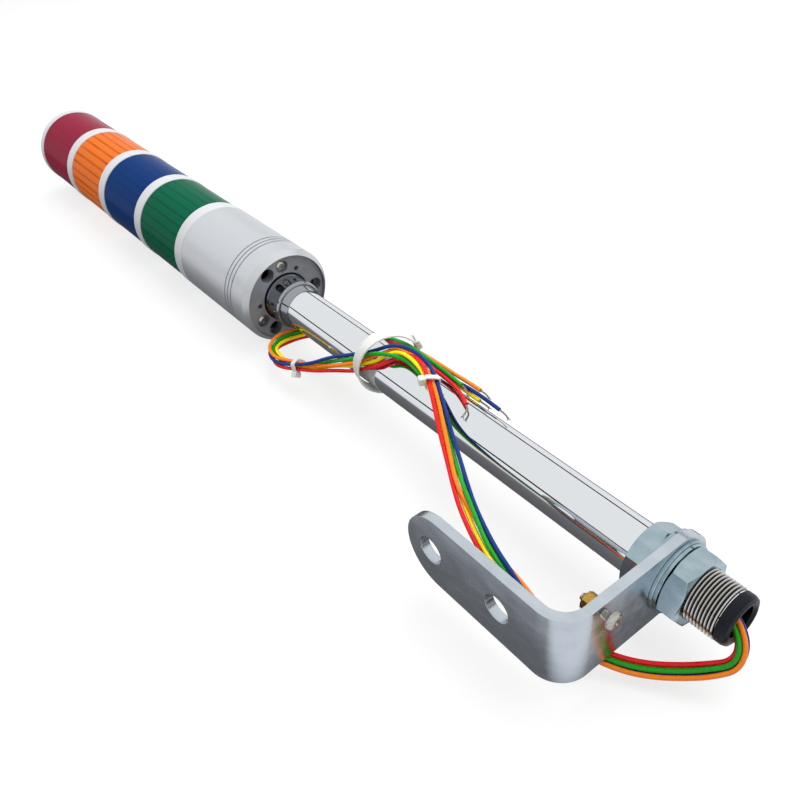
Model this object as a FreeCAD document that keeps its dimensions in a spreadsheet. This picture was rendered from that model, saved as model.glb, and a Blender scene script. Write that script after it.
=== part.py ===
import FreeCAD, Part
import math
import os
import Sketcher

Vector = FreeCAD.Vector
Rotation = FreeCAD.Rotation
Placement = FreeCAD.Placement

doc = FreeCAD.newDocument("StackLight")
sheet = doc.addObject("Spreadsheet::Sheet", "Sizes")

# Driving sizes in millimetres. The pole stands along Z at a distance from the wall,
# the wall is at +Y, and the origin is midway between the bracket's two wall holes.
sizes = {
    "standoff": 65.0,
    "mount_rise": 55.0,
    "bracket_width": 38.0,
    "bracket_sheet": 4.5,
    "bend_inside": 10.0,
    "wall_hole_margin": 15.0,
    "wall_hole_spacing": 40.0,
    "wall_hole_radius": 6.75,
    "pole_radius": 12.0,
    "pole_wall": 2.0,
    "pole_hole_gap": 0.3,
    "thread_end": 26.0,
    "nut_flats": 30.0,
    "nut_height": 9.5,
    "upper_washer_radius": 18.0,
    "upper_washer_height": 2.0,
    "flat_washer_radius": 17.0,
    "flat_washer_height": 1.5,
    "spring_washer_radius": 16.2,
    "spring_washer_height": 1.5,
    "spring_washer_gap": 2.5,
    "bush_flange_radius": 11.6,
    "bush_flange_height": 5.0,
    "bush_bore": 7.5,
    "bush_depth": 8.0,
    "earth_edge": 4.5,
    "earth_reach": 20.5,
    "earth_screw_radius": 2.0,
    "earth_head_radius": 4.0,
    "earth_head_height": 3.0,
    "earth_head_gap": 3.2,
    "earth_nut_flats": 7.0,
    "earth_nut_height": 4.0,
    "head_radius": 30.0,
    "base_rise": 288.0,
    "base_height": 82.5,
    "rim_chamfer": 3.7,
    "groove_start": 17.0,
    "groove_pitch": 3.5,
    "groove_width": 1.1,
    "groove_depth": 0.7,
    "housing_wall": 2.9,
    "plate_thickness": 6.0,
    "plate_recess": 2.0,
    "boss_inset": 9.5,
    "boss_radius": 3.6,
    "boss_height": 22.0,
    "screw_radius": 1.5,
    "screw_head_radius": 3.0,
    "screw_head_height": 2.2,
    "screw_pocket_radius": 4.0,
    "screw_pocket_depth": 2.4,
    "port_radius": 4.4,
    "port_inset": 9.0,
    "vent_radius": 1.6,
    "vent_inset": 11.5,
    "lower_wall": 6.0,
    "board_seat": 34.0,
    "board_thickness": 1.6,
    "collar_radius": 14.0,
    "collar_flange": 14.7,
    "collar_flange_height": 1.6,
    "collar_length": 21.0,
    "collar_spigot": 13.3,
    "collar_spigot_length": 12.5,
    "bead_height": 7.5,
    "bead_radius": 1.6,
    "gasket_radius": 15.5,
    "gasket_thickness": 1.5,
    "gasket_seat_depth": 2.0,
    "collar_nut_radius": 16.5,
    "collar_nut_height": 5.0,
    "ring_height": 10.0,
    "lens_height": 53.0,
    "lens_inset": 0.5,
    "lens_wall": 2.1,
    "lens_rib_depth": 0.9,
    "spigot_gap": 0.3,
    "spigot_height": 3.0,
    "spigot_wall": 1.5,
    "deck_height": 3.5,
    "deck_thickness": 2.5,
    "deck_hole": 8.0,
    "rod_gap": 0.3,
    "led_board_inset": 12.0,
    "led_inset": 5.5,
    "led_side": 5.0,
    "led_height": 1.6,
    "cap_height": 7.0,
    "cap_roof": 3.0,
    "cap_round": 1.5,
    "rod_into_boss": 8.0,
    "rod_into_cap": 2.0,
    "wire_radius": 1.05,
    "bare_radius": 0.55,
    "tie_width": 5.0,
    "tie_thickness": 1.2,
    "tie_rise": 196.0,
    "tie_clearance": 0.6,
    "small_tie_width": 2.5,
    "small_tie_thickness": 0.9,
}
# Sizes that follow from the ones above.
derived = {
    "plate_radius": "head_radius - housing_wall",
    "lower_bore": "head_radius - lower_wall",
    "boss_circle": "head_radius - boss_inset",
    "port_circle": "head_radius - port_inset",
    "vent_circle": "head_radius - vent_inset",
    "lens_radius": "head_radius - lens_inset",
    "lens_bore": "lens_radius - lens_wall",
    "spigot_radius": "lens_bore - spigot_gap",
    "led_board_radius": "head_radius - led_board_inset",
    "led_circle": "led_board_radius - led_inset",
    "wall_leg_length": "mount_rise + wall_hole_spacing / 2 + wall_hole_margin",
    "earth_side": "bracket_width / 2 - earth_edge",
}
cells = [(name, str(value)) for name, value in sizes.items()]
cells += [(name, "=" + formula) for name, formula in derived.items()]
for row, (name, content) in enumerate(cells, start=1):
    sheet.set("A%d" % row, name)
    sheet.set("B%d" % row, content)
    sheet.setAlias("B%d" % row, name)
doc.recompute()

# Lower face of the pole's leg, and of the head's base, from the mount.
LEG = "(-Sizes.mount_rise)"
BASE = "(Sizes.base_rise - Sizes.mount_rise)"


def size(name):
    return float(getattr(sheet, name))


def place(item, height, side="0", forward="-Sizes.standoff"):
    item.setExpression(".Placement.Base.x", side)
    item.setExpression(".Placement.Base.y", forward)
    item.setExpression(".Placement.Base.z", height)


def new_body(label):
    body = doc.addObject("PartDesign::Body", label)
    body.Label = label
    return body


def origin_plane(body, role):
    for feature in body.Origin.OriginFeatures:
        if feature.Role == role:
            return feature
    return None


def new_sketch(body, name, role, height=None):
    sketch = body.newObject("Sketcher::SketchObject", name)
    sketch.AttachmentSupport = (origin_plane(body, role), [""])
    sketch.MapMode = "FlatFace"
    if height is not None:
        sketch.setExpression(".AttachmentOffset.Base.z", height)
    return sketch


def outline(sketch, corners):
    """Closed outline whose corners are bound to the sheet, each by its two distances."""
    count = len(corners)
    for index in range(count):
        here = Vector(10.0 + 7 * math.cos(index), 20.0 + 9 * math.sin(index) + 0.3 * index, 0)
        there = Vector(11.0 + 7 * math.cos(index + 1), 20.0 + 9 * math.sin(index + 1), 0)
        sketch.addGeometry(Part.LineSegment(here, there), False)
    for index in range(count):
        following = (index + 1) % count
        sketch.addConstraint(Sketcher.Constraint("Coincident", index, 2, following, 1))
    for index, (across, up) in enumerate(corners):
        for kind, text in (("DistanceX", across), ("DistanceY", up)):
            if text == "0":
                axis = -2 if kind == "DistanceX" else -1
                sketch.addConstraint(Sketcher.Constraint("PointOnObject", index, 1, axis))
                continue
            number = sketch.addConstraint(Sketcher.Constraint(kind, -1, 1, index, 1, 5.0))
            sketch.setExpression("Constraints[%d]" % number, text)


def spun(body, name, corners):
    sketch = new_sketch(body, name + "Profile", "XZ_Plane")
    outline(sketch, corners)
    turn = body.newObject("PartDesign::Revolution", name)
    turn.Profile = sketch
    turn.ReferenceAxis = (sketch, ["V_Axis"])
    turn.Angle = 360.0
    body.Tip = turn
    return turn


def spot_sketch(body, name, height, radius, circle, angle):
    """One circle on a pitch circle, placed by its two distances from the axis."""
    sketch = new_sketch(body, name, "XY_Plane", height)
    number = sketch.addGeometry(Part.Circle(Vector(12, 9, 0), Vector(0, 0, 1), 2.0), False)
    wide = sketch.addConstraint(Sketcher.Constraint("Radius", number, 2.0))
    sketch.setExpression("Constraints[%d]" % wide, radius)
    far = sketch.addConstraint(Sketcher.Constraint("DistanceX", -1, 1, number, 3, 12.0))
    sketch.setExpression("Constraints[%d]" % far, "%s * cos(%g deg)" % (circle, angle))
    near = sketch.addConstraint(Sketcher.Constraint("DistanceY", -1, 1, number, 3, 9.0))
    sketch.setExpression("Constraints[%d]" % near, "%s * sin(%g deg)" % (circle, angle))
    return sketch


def patterned(body, feature, name, times):
    pattern = body.newObject("PartDesign::PolarPattern", name)
    pattern.Originals = [feature]
    pattern.Axis = (origin_axis(body, "Z_Axis"), [""])
    pattern.Angle = 360.0
    pattern.Occurrences = times
    body.Tip = pattern
    return pattern


def origin_axis(body, role):
    return origin_plane(body, role)


def bored(body, name, height, radius, circle, angle, depth, times=3):
    """Round hole downward into the body from the given height, repeated round the axis."""
    sketch = spot_sketch(body, name + "Spot", height, radius, circle, angle)
    pocket = body.newObject("PartDesign::Pocket", name)
    pocket.Profile = sketch
    pocket.Type = 0
    pocket.setExpression("Length", depth)
    body.Tip = pocket
    patterned(body, pocket, name + "Round", times)


def bossed(body, name, height, radius, circle, angle, tall, times=3):
    sketch = spot_sketch(body, name + "Spot", height, radius, circle, angle)
    pad = body.newObject("PartDesign::Pad", name)
    pad.Profile = sketch
    pad.setExpression("Length", tall)
    body.Tip = pad
    patterned(body, pad, name + "Round", times)


def cylinder(name, radius, height, base="0", side="0", forward="0"):
    shape = doc.addObject("Part::Cylinder", name)
    shape.setExpression("Radius", radius)
    shape.setExpression("Height", height)
    shape.setExpression(".Placement.Base.x", side)
    shape.setExpression(".Placement.Base.y", forward)
    shape.setExpression(".Placement.Base.z", base)
    return shape


def cone(name, lower, upper, height, base="0"):
    shape = doc.addObject("Part::Cone", name)
    shape.setExpression("Radius1", lower)
    shape.setExpression("Radius2", upper)
    shape.setExpression("Height", height)
    shape.setExpression(".Placement.Base.z", base)
    return shape


def joined(name, shapes):
    fused = doc.addObject("Part::MultiFuse", name)
    fused.Shapes = shapes
    fused.Refine = True
    return fused


def removed(name, base, tool):
    cut = doc.addObject("Part::Cut", name)
    cut.Base = base
    cut.Tool = tool
    return cut


def common(name, shapes):
    both = doc.addObject("Part::MultiCommon", name)
    both.Shapes = shapes
    return both


# The bent steel bracket: an L profile padded across its width, both ends rounded full.
def bracket():
    body = new_body("bracket")
    sketch = new_sketch(body, "BendProfile", "YZ_Plane")
    reach = "(Sizes.standoff + Sizes.bracket_width / 2)"
    sheet_wall = "Sizes.bracket_sheet"
    bend = "Sizes.bend_inside"
    far = size("standoff") + size("bracket_width") / 2
    thick = size("bracket_sheet")
    inner = size("bend_inside")
    outer = inner + thick
    tall = size("wall_leg_length")
    low = 0.0
    lines = [
        (Vector(-far, low, 0), Vector(-outer, low, 0)),
        (Vector(0, outer, 0), Vector(0, tall, 0)),
        (Vector(0, tall, 0), Vector(-thick, tall, 0)),
        (Vector(-thick, tall, 0), Vector(-thick, outer, 0)),
        (Vector(-outer, thick, 0), Vector(-far, thick, 0)),
        (Vector(-far, thick, 0), Vector(-far, low, 0)),
    ]
    for start, stop in lines:
        sketch.addGeometry(Part.LineSegment(start, stop), False)
    centre = Vector(-outer, outer, 0)
    for radius in (outer, inner):
        ring = Part.Circle(centre, Vector(0, 0, 1), radius)
        sketch.addGeometry(Part.ArcOfCircle(ring, -math.pi / 2, 0), False)
    joints = [(0, 2, 6, 1), (6, 2, 1, 1), (1, 2, 2, 1), (2, 2, 3, 1), (3, 2, 7, 2), (7, 1, 4, 1), (4, 2, 5, 1),
              (5, 2, 0, 1)]
    for first, end, second, start in joints:
        if (first, second) in ((0, 6), (6, 1), (3, 7), (7, 4)):
            sketch.addConstraint(Sketcher.Constraint("Tangent", first, end, second, start))
        else:
            sketch.addConstraint(Sketcher.Constraint("Coincident", first, end, second, start))
    for line in (0, 2, 4):
        sketch.addConstraint(Sketcher.Constraint("Horizontal", line))
    for line in (1, 3, 5):
        sketch.addConstraint(Sketcher.Constraint("Vertical", line))
    sketch.addConstraint(Sketcher.Constraint("PointOnObject", 0, 1, -1))
    sketch.addConstraint(Sketcher.Constraint("PointOnObject", 1, 1, -2))
    sketch.addConstraint(Sketcher.Constraint("Coincident", 6, 3, 7, 3))
    driven = [
        (Sketcher.Constraint("DistanceX", 0, 1, -1, 1, far), reach),
        (Sketcher.Constraint("DistanceY", -1, 1, 1, 2, tall), "Sizes.wall_leg_length"),
        (Sketcher.Constraint("Radius", 7, inner), bend),
        (Sketcher.Constraint("DistanceX", 2, 2, 2, 1, thick), sheet_wall),
    ]
    for constraint, text in driven:
        number = sketch.addConstraint(constraint)
        sketch.setExpression("Constraints[%d]" % number, text)
    pad = body.newObject("PartDesign::Pad", "BendPad")
    pad.Profile = sketch
    pad.Midplane = True
    pad.setExpression("Length", "Sizes.bracket_width")
    body.Tip = pad
    doc.recompute()
    ends = []
    for number, edge in enumerate(pad.Shape.Edges, start=1):
        middle = edge.BoundBox.Center
        box = edge.BoundBox
        at_side = abs(abs(middle.x) - size("bracket_width") / 2) < 0.01 and box.XLength < 0.01
        top_end = abs(middle.z - tall) < 0.01 and abs(box.YLength - thick) < 0.01
        front_end = abs(middle.y + far) < 0.01 and abs(box.ZLength - thick) < 0.01
        if at_side and (top_end or front_end):
            ends.append("Edge%d" % number)
    rounding = body.newObject("PartDesign::Fillet", "EndRounds")
    rounding.Base = (pad, ends)
    rounding.setExpression("Radius", "Sizes.bracket_width / 2 - 0.05")
    body.Tip = rounding
    doc.recompute()
    holes = new_sketch(body, "WallHoles", "XZ_Plane")
    for index, text in enumerate(("Sizes.mount_rise - Sizes.wall_hole_spacing / 2",
                                  "Sizes.mount_rise + Sizes.wall_hole_spacing / 2")):
        holes.addGeometry(Part.Circle(Vector(0, 30 + 40 * index, 0), Vector(0, 0, 1), 5.0), False)
        holes.addConstraint(Sketcher.Constraint("PointOnObject", index, 3, -2))
        up = holes.addConstraint(Sketcher.Constraint("DistanceY", -1, 1, index, 3, 30 + 40 * index))
        holes.setExpression("Constraints[%d]" % up, text)
        wide = holes.addConstraint(Sketcher.Constraint("Radius", index, 5.0))
        holes.setExpression("Constraints[%d]" % wide, "Sizes.wall_hole_radius")
    wall_cut = body.newObject("PartDesign::Pocket", "WallHoleCut")
    wall_cut.Profile = holes
    wall_cut.Midplane = True
    wall_cut.setExpression("Length", "4 * Sizes.bracket_sheet")
    body.Tip = wall_cut
    floor_holes = new_sketch(body, "LegHoles", "XY_Plane")
    floor_holes.addGeometry(Part.Circle(Vector(0, -65, 0), Vector(0, 0, 1), 12.0), False)
    floor_holes.addConstraint(Sketcher.Constraint("PointOnObject", 0, 3, -2))
    out = floor_holes.addConstraint(Sketcher.Constraint("DistanceY", 0, 3, -1, 1, 65.0))
    floor_holes.setExpression("Constraints[%d]" % out, "Sizes.standoff")
    wide = floor_holes.addConstraint(Sketcher.Constraint("Radius", 0, 12.0))
    floor_holes.setExpression("Constraints[%d]" % wide, "Sizes.pole_radius + Sizes.pole_hole_gap")
    floor_holes.addGeometry(Part.Circle(Vector(-12, -19, 0), Vector(0, 0, 1), 2.0), False)
    side = floor_holes.addConstraint(Sketcher.Constraint("DistanceX", 1, 3, -1, 1, 12.0))
    floor_holes.setExpression("Constraints[%d]" % side, "Sizes.earth_side")
    out = floor_holes.addConstraint(Sketcher.Constraint("DistanceY", 1, 3, -1, 1, 19.0))
    floor_holes.setExpression("Constraints[%d]" % out, "Sizes.earth_reach")
    wide = floor_holes.addConstraint(Sketcher.Constraint("Radius", 1, 2.0))
    floor_holes.setExpression("Constraints[%d]" % wide, "Sizes.earth_screw_radius")
    leg_cut = body.newObject("PartDesign::Pocket", "LegHoleCut")
    leg_cut.Profile = floor_holes
    leg_cut.Midplane = True
    leg_cut.setExpression("Length", "4 * Sizes.bracket_sheet")
    body.Tip = leg_cut
    place(body, LEG, forward="0")
    return body


# The plated steel tube that carries the head.
def pole():
    body = new_body("pole")
    inner = "Sizes.pole_radius - Sizes.pole_wall"
    seat = "Sizes.plate_recess + Sizes.gasket_seat_depth - Sizes.gasket_thickness"
    tall = "(Sizes.thread_end + Sizes.base_rise + " + seat + " + Sizes.collar_spigot_length)"
    spun(body, "Tube", [
        (inner, "0"),
        ("Sizes.pole_radius - 0.8", "0"),
        ("Sizes.pole_radius", "0.8"),
        ("Sizes.pole_radius", tall + " - 0.3"),
        ("Sizes.pole_radius - 0.3", tall),
        (inner, tall),
    ])
    place(body, LEG + " - Sizes.thread_end")
    return body


# Hexagon nut with both faces chamfered round.
def hexagon_nut(label, flats, bore, height, lift, side="0", forward="-Sizes.standoff", turn=0.0):
    prism = doc.addObject("Part::Prism", label + "Hexagon")
    prism.Polygon = 6
    prism.setExpression("Circumradius", "%s / 2 / cos(30 deg)" % flats)
    prism.setExpression("Height", height)
    prism.Placement.Rotation = Rotation(Vector(0, 0, 1), turn)
    low = cone(label + "Below", "%s / 2 * 0.97" % flats, "%s / 2 * 0.97 + 4 * %s" % (flats, height),
               "2 * %s" % height)
    high = cone(label + "Above", "%s / 2 * 0.97 + 4 * %s" % (flats, height), "%s / 2 * 0.97" % flats,
                "2 * %s" % height, "-" + height)
    shaped = common(label + "Shaped", [prism, low, high])
    hole = cylinder(label + "Bore", bore, height + " + 2", "-1")
    nut = removed(label, shaped, hole)
    nut.Label = label
    place(nut, lift, side, forward)
    return nut


def flat_ring(label, outer, inner, height, lift):
    body = new_body(label)
    spun(body, label + "Turn", [
        (inner, "0"),
        (outer + " - 0.2", "0"),
        (outer, "0.2"),
        (outer, height + " - 0.2"),
        (outer + " - 0.2", height),
        (inner, height),
    ])
    place(body, lift)
    return body


# Split spring washer under the outer nut.
def spring_washer():
    body = new_body("spring_washer")
    spun(body, "Coil", [
        ("Sizes.pole_radius + Sizes.pole_hole_gap", "0"),
        ("Sizes.spring_washer_radius", "0"),
        ("Sizes.spring_washer_radius", "Sizes.spring_washer_height"),
        ("Sizes.pole_radius + Sizes.pole_hole_gap", "Sizes.spring_washer_height"),
    ])
    sketch = new_sketch(body, "Split", "XY_Plane")
    near = "Sizes.pole_radius - 1"
    far = "Sizes.spring_washer_radius + 1"
    wide = "Sizes.spring_washer_gap"
    outline(sketch, [(near, "0"), (far, "0"), (far, wide), (near, wide)])
    cut = body.newObject("PartDesign::Pocket", "SplitCut")
    cut.Profile = sketch
    cut.Midplane = True
    cut.setExpression("Length", "4 * Sizes.spring_washer_height")
    body.Tip = cut
    place(body, LEG + " - Sizes.flat_washer_height - Sizes.spring_washer_height")
    return body


# Black bush in the pole's open end, with a rounded flange.
def bush():
    body = new_body("cable_bush")
    flange = "Sizes.bush_flange_radius"
    tall = "Sizes.bush_flange_height"
    spigot = "(Sizes.pole_radius - Sizes.pole_wall)"
    spun(body, "BushTurn", [
        ("Sizes.bush_bore + 1.2", "0"),
        (flange + " - 2.2", "0"),
        (flange + " - 0.6", "0.7"),
        (flange, "2.2"),
        (flange, tall),
        (spigot, tall),
        (spigot, tall + " + Sizes.bush_depth"),
        ("Sizes.bush_bore", tall + " + Sizes.bush_depth"),
        ("Sizes.bush_bore", "1.2"),
    ])
    place(body, LEG + " - Sizes.thread_end - Sizes.bush_flange_height")
    return body


# Cross recess made of two crossed slots, cut from a screw head.
def cross_slot(name, reach, width, depth, base):
    blades = []
    for index in (0, 1):
        blade = doc.addObject("Part::Box", "%sBlade%d" % (name, index))
        first, second = (reach, width) if index == 0 else (width, reach)
        blade.setExpression("Length", "2 * " + first)
        blade.setExpression("Width", "2 * " + second)
        blade.setExpression("Height", depth)
        blade.setExpression(".Placement.Base.x", "-" + first)
        blade.setExpression(".Placement.Base.y", "-" + second)
        blade.setExpression(".Placement.Base.z", base)
        blades.append(blade)
    return joined(name + "Cross", blades)


# Pan head screw through the leg, head below it, standing off the sheet.
def earth_screw():
    tall = "(Sizes.earth_head_gap + Sizes.bracket_sheet + Sizes.earth_nut_height + 2)"
    shank = cylinder("EarthShank", "Sizes.earth_screw_radius", tall, "Sizes.earth_head_height")
    disc = cylinder("EarthDisc", "Sizes.earth_head_radius", "Sizes.earth_head_height * 0.55",
                    "Sizes.earth_head_height * 0.45")
    dome = cone("EarthDome", "Sizes.earth_head_radius * 0.62", "Sizes.earth_head_radius",
                "Sizes.earth_head_height * 0.45")
    solid = joined("EarthSolid", [shank, disc, dome])
    cross = cross_slot("Earth", "Sizes.earth_head_radius * 0.5", "0.5", "1.5", "0")
    screw = removed("earth_screw", solid, cross)
    screw.Label = "earth_screw"
    place(screw, LEG + " - Sizes.earth_head_gap - Sizes.earth_head_height", "-Sizes.earth_side",
          "-Sizes.earth_reach")
    return screw


# Lower housing of the head: chamfered rim, three fine grooves, seats for the plate and the board.
def base_housing():
    body = new_body("base_housing")
    edge = "Sizes.head_radius"
    dip = "Sizes.head_radius - Sizes.groove_depth"
    start = "Sizes.groove_start"
    pitch = "Sizes.groove_pitch"
    wide = "Sizes.groove_width"
    step = "(Sizes.plate_recess + Sizes.plate_thickness)"
    corners = [("Sizes.plate_radius + 0.1", "0"), (edge, "Sizes.rim_chamfer")]
    for index in range(3):
        low = "%s + %d * %s" % (start, index, pitch)
        corners += [(edge, low), (dip, low), (dip, low + " + " + wide), (edge, low + " + " + wide)]
    corners += [
        (edge, "Sizes.base_height - 0.4"),
        (edge + " - 0.4", "Sizes.base_height"),
        ("Sizes.lens_bore", "Sizes.base_height"),
        ("Sizes.lens_bore", "Sizes.board_seat"),
        ("Sizes.lower_bore", "Sizes.board_seat"),
        ("Sizes.lower_bore", step),
        ("Sizes.plate_radius + 0.1", step),
    ]
    spun(body, "HousingTurn", corners)
    doc.recompute()
    bossed(body, "Boss", step, "Sizes.boss_radius", "Sizes.boss_circle", 61, "Sizes.boss_height")
    doc.recompute()
    bored(body, "BossBore", step + " + Sizes.boss_height", "Sizes.screw_radius", "Sizes.boss_circle", 61,
          "Sizes.boss_height")
    place(body, BASE)
    return body


# Recessed plate closing the housing, with the ports, the counterbored screws and the vents.
def bottom_plate():
    body = new_body("bottom_plate")
    tall = "Sizes.plate_thickness"
    seat = "Sizes.gasket_seat_depth"
    spun(body, "PlateTurn", [
        ("Sizes.gasket_radius + 0.1", "0"),
        ("Sizes.plate_radius - 0.3", "0"),
        ("Sizes.plate_radius", "0.3"),
        ("Sizes.plate_radius", tall),
        ("Sizes.collar_spigot + 0.3", tall),
        ("Sizes.collar_spigot + 0.3", seat),
        ("Sizes.gasket_radius + 0.1", seat),
    ])
    doc.recompute()
    bored(body, "Port", tall, "Sizes.port_radius", "Sizes.port_circle", 31, tall)
    bored(body, "ScrewHole", tall, "Sizes.screw_radius + 0.2", "Sizes.boss_circle", 61, tall)
    bored(body, "ScrewPocket", "Sizes.screw_pocket_depth", "Sizes.screw_pocket_radius", "Sizes.boss_circle", 61,
          "Sizes.screw_pocket_depth")
    bored(body, "Vent", tall, "Sizes.vent_radius", "Sizes.vent_circle", 92, tall)
    place(body, BASE + " + Sizes.plate_recess")
    return body


def repeated(label, source, angles, circle, lift):
    """Identical solids round the pole's axis, kept as separate solids of one piece."""
    doc.recompute()
    copies = []
    for angle in angles:
        shape = source.Shape.copy()
        turn = math.radians(angle)
        shape.translate(Vector(circle * math.cos(turn), circle * math.sin(turn), 0) - source.Placement.Base)
        copies.append(shape)
    group = doc.addObject("Part::Feature", label)
    group.Shape = Part.makeCompound(copies)
    group.Label = label
    place(group, lift)
    return group


def plate_screws():
    room = "(Sizes.plate_thickness - Sizes.screw_pocket_depth)"
    shank = cylinder("PlateShank", "Sizes.screw_radius", room + " + Sizes.boss_height * 0.4",
                     "Sizes.screw_head_height")
    disc = cylinder("PlateDisc", "Sizes.screw_head_radius", "Sizes.screw_head_height * 0.6",
                    "Sizes.screw_head_height * 0.4")
    dome = cone("PlateDome", "Sizes.screw_head_radius * 0.65", "Sizes.screw_head_radius",
                "Sizes.screw_head_height * 0.4")
    solid = joined("PlateSolid", [shank, disc, dome])
    cross = cross_slot("Plate", "Sizes.screw_head_radius * 0.5", "0.4", "1.1", "0")
    single = removed("PlateScrew", solid, cross)
    lift = BASE + " + Sizes.plate_recess + Sizes.screw_pocket_depth - Sizes.screw_head_height"
    return repeated("plate_screws", single, (61, 181, 301), size("boss_circle"), lift)


# Chromed collar: fillet, bead, neck and flange outside, threaded spigot through the plate.
def collar():
    top = "Sizes.collar_length"
    foot = cone("CollarFoot", "Sizes.pole_radius + 0.4", "Sizes.collar_radius - 0.4", "Sizes.bead_height")
    neck = cylinder("CollarNeck", "Sizes.collar_radius", top + " - Sizes.bead_height", "Sizes.bead_height")
    bead = doc.addObject("Part::Torus", "CollarBead")
    bead.setExpression("Radius1", "Sizes.collar_radius - Sizes.bead_radius * 0.3")
    bead.setExpression("Radius2", "Sizes.bead_radius")
    bead.setExpression(".Placement.Base.z", "Sizes.bead_height")
    flange = cylinder("CollarFlange", "Sizes.collar_flange", "Sizes.collar_flange_height",
                      top + " - Sizes.collar_flange_height")
    spigot = cylinder("CollarSpigot", "Sizes.collar_spigot", "Sizes.collar_spigot_length", top)
    solid = joined("CollarSolid", [foot, neck, bead, flange, spigot])
    bore = cylinder("CollarBore", "Sizes.pole_radius", top + " + Sizes.collar_spigot_length + 2", "-1")
    piece = removed("collar", solid, bore)
    piece.Label = "collar"
    place(piece, BASE + " + Sizes.plate_recess + Sizes.gasket_seat_depth - Sizes.gasket_thickness - " + top)
    return piece


# Round circuit board of the base, seated on the housing's ledge.
def control_board():
    body = new_body("control_board")
    tall = "Sizes.board_thickness"
    spun(body, "BoardTurn", [
        ("0", "0"),
        ("Sizes.lens_bore - 0.2", "0"),
        ("Sizes.lens_bore - 0.2", tall),
        ("0", tall),
    ])
    doc.recompute()
    bored(body, "RodHole", tall, "Sizes.screw_radius + Sizes.rod_gap", "Sizes.boss_circle", 61, tall)
    place(body, BASE + " + Sizes.board_seat")
    return body


def tier_height(index):
    """Height of the lower edge of a silver ring, counted from the housing upward."""
    return BASE + " + Sizes.base_height + %d * (Sizes.ring_height + Sizes.lens_height)" % index


# Silver ring between two lenses, with a spigot each way and a deck for the lamp board.
def spacer_ring(label, index):
    body = new_body(label)
    low = "Sizes.spigot_height"
    high = "(Sizes.spigot_height + Sizes.ring_height)"
    fit = "Sizes.spigot_radius"
    inner = "(Sizes.spigot_radius - Sizes.spigot_wall)"
    edge = "Sizes.head_radius"
    under = "(Sizes.spigot_height + Sizes.deck_height)"
    over = under + " + Sizes.deck_thickness"
    spun(body, "RingTurn", [
        (inner, "0"),
        (fit, "0"),
        (fit, low),
        (edge + " - 0.4", low),
        (edge, low + " + 0.4"),
        (edge, high + " - 0.4"),
        (edge + " - 0.4", high),
        (fit, high),
        (fit, high + " + Sizes.spigot_height"),
        (inner, high + " + Sizes.spigot_height"),
        (inner, over),
        ("Sizes.deck_hole", over),
        ("Sizes.deck_hole", under),
        (inner, under),
    ])
    doc.recompute()
    bored(body, "RodHole", over, "Sizes.screw_radius + Sizes.rod_gap", "Sizes.boss_circle", 61,
          "Sizes.deck_thickness")
    place(body, tier_height(index) + " - Sizes.spigot_height")
    return body


# Tinted lens: a plain outer wall and axial prisms inside.
def lens(label, index, prisms):
    body = new_body(label)
    rib = "Sizes.lens_rib_depth"
    tall = "Sizes.lens_height"
    wall = "(Sizes.spigot_height + 1)"
    spun(body, "LensTurn", [
        ("Sizes.lens_bore", "0"),
        ("Sizes.lens_radius - 0.3", "0"),
        ("Sizes.lens_radius", "0.3"),
        ("Sizes.lens_radius", tall + " - 0.3"),
        ("Sizes.lens_radius - 0.3", tall),
        ("Sizes.lens_bore", tall),
        ("Sizes.lens_bore", tall + " - " + wall),
        ("Sizes.lens_bore - 1", tall + " - " + wall),
        ("Sizes.lens_bore - 1", wall),
        ("Sizes.lens_bore", wall),
    ])
    doc.recompute()
    sketch = new_sketch(body, "Prism", "XY_Plane", wall)
    near = "Sizes.lens_bore - 1.5"
    half = "(Sizes.lens_bore * 2.6 / %d)" % prisms
    outline(sketch, [(near, "0"), ("Sizes.lens_bore - 1 + " + rib, half + " / 2"), (near, half)])
    cut = body.newObject("PartDesign::Pocket", "PrismCut")
    cut.Profile = sketch
    cut.Reversed = True
    cut.setExpression("Length", tall + " - 2 * " + wall)
    body.Tip = cut
    patterned(body, cut, "PrismRound", prisms)
    place(body, tier_height(index) + " + Sizes.ring_height")
    return body


def lamp_board(label, index):
    body = new_body(label)
    tall = "Sizes.board_thickness"
    spun(body, "LampBoardTurn", [
        ("4", "0"),
        ("Sizes.led_board_radius", "0"),
        ("Sizes.led_board_radius", tall),
        ("4", tall),
    ])
    place(body, tier_height(index) + " + Sizes.deck_height + Sizes.deck_thickness")
    return body


def lamps(label, index):
    doc.recompute()
    side = size("led_side")
    chips = []
    for step in range(6):
        chip = Part.makeBox(side, side, size("led_height"), Vector(size("led_circle") - side / 2, -side / 2, 0))
        chip.rotate(Vector(0, 0, 0), Vector(0, 0, 1), 60 * step)
        chips.append(chip)
    group = doc.addObject("Part::Feature", label)
    group.Shape = Part.makeCompound(chips)
    group.Label = label
    place(group, tier_height(index) + " + Sizes.deck_height + Sizes.deck_thickness + Sizes.board_thickness")
    return group


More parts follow.
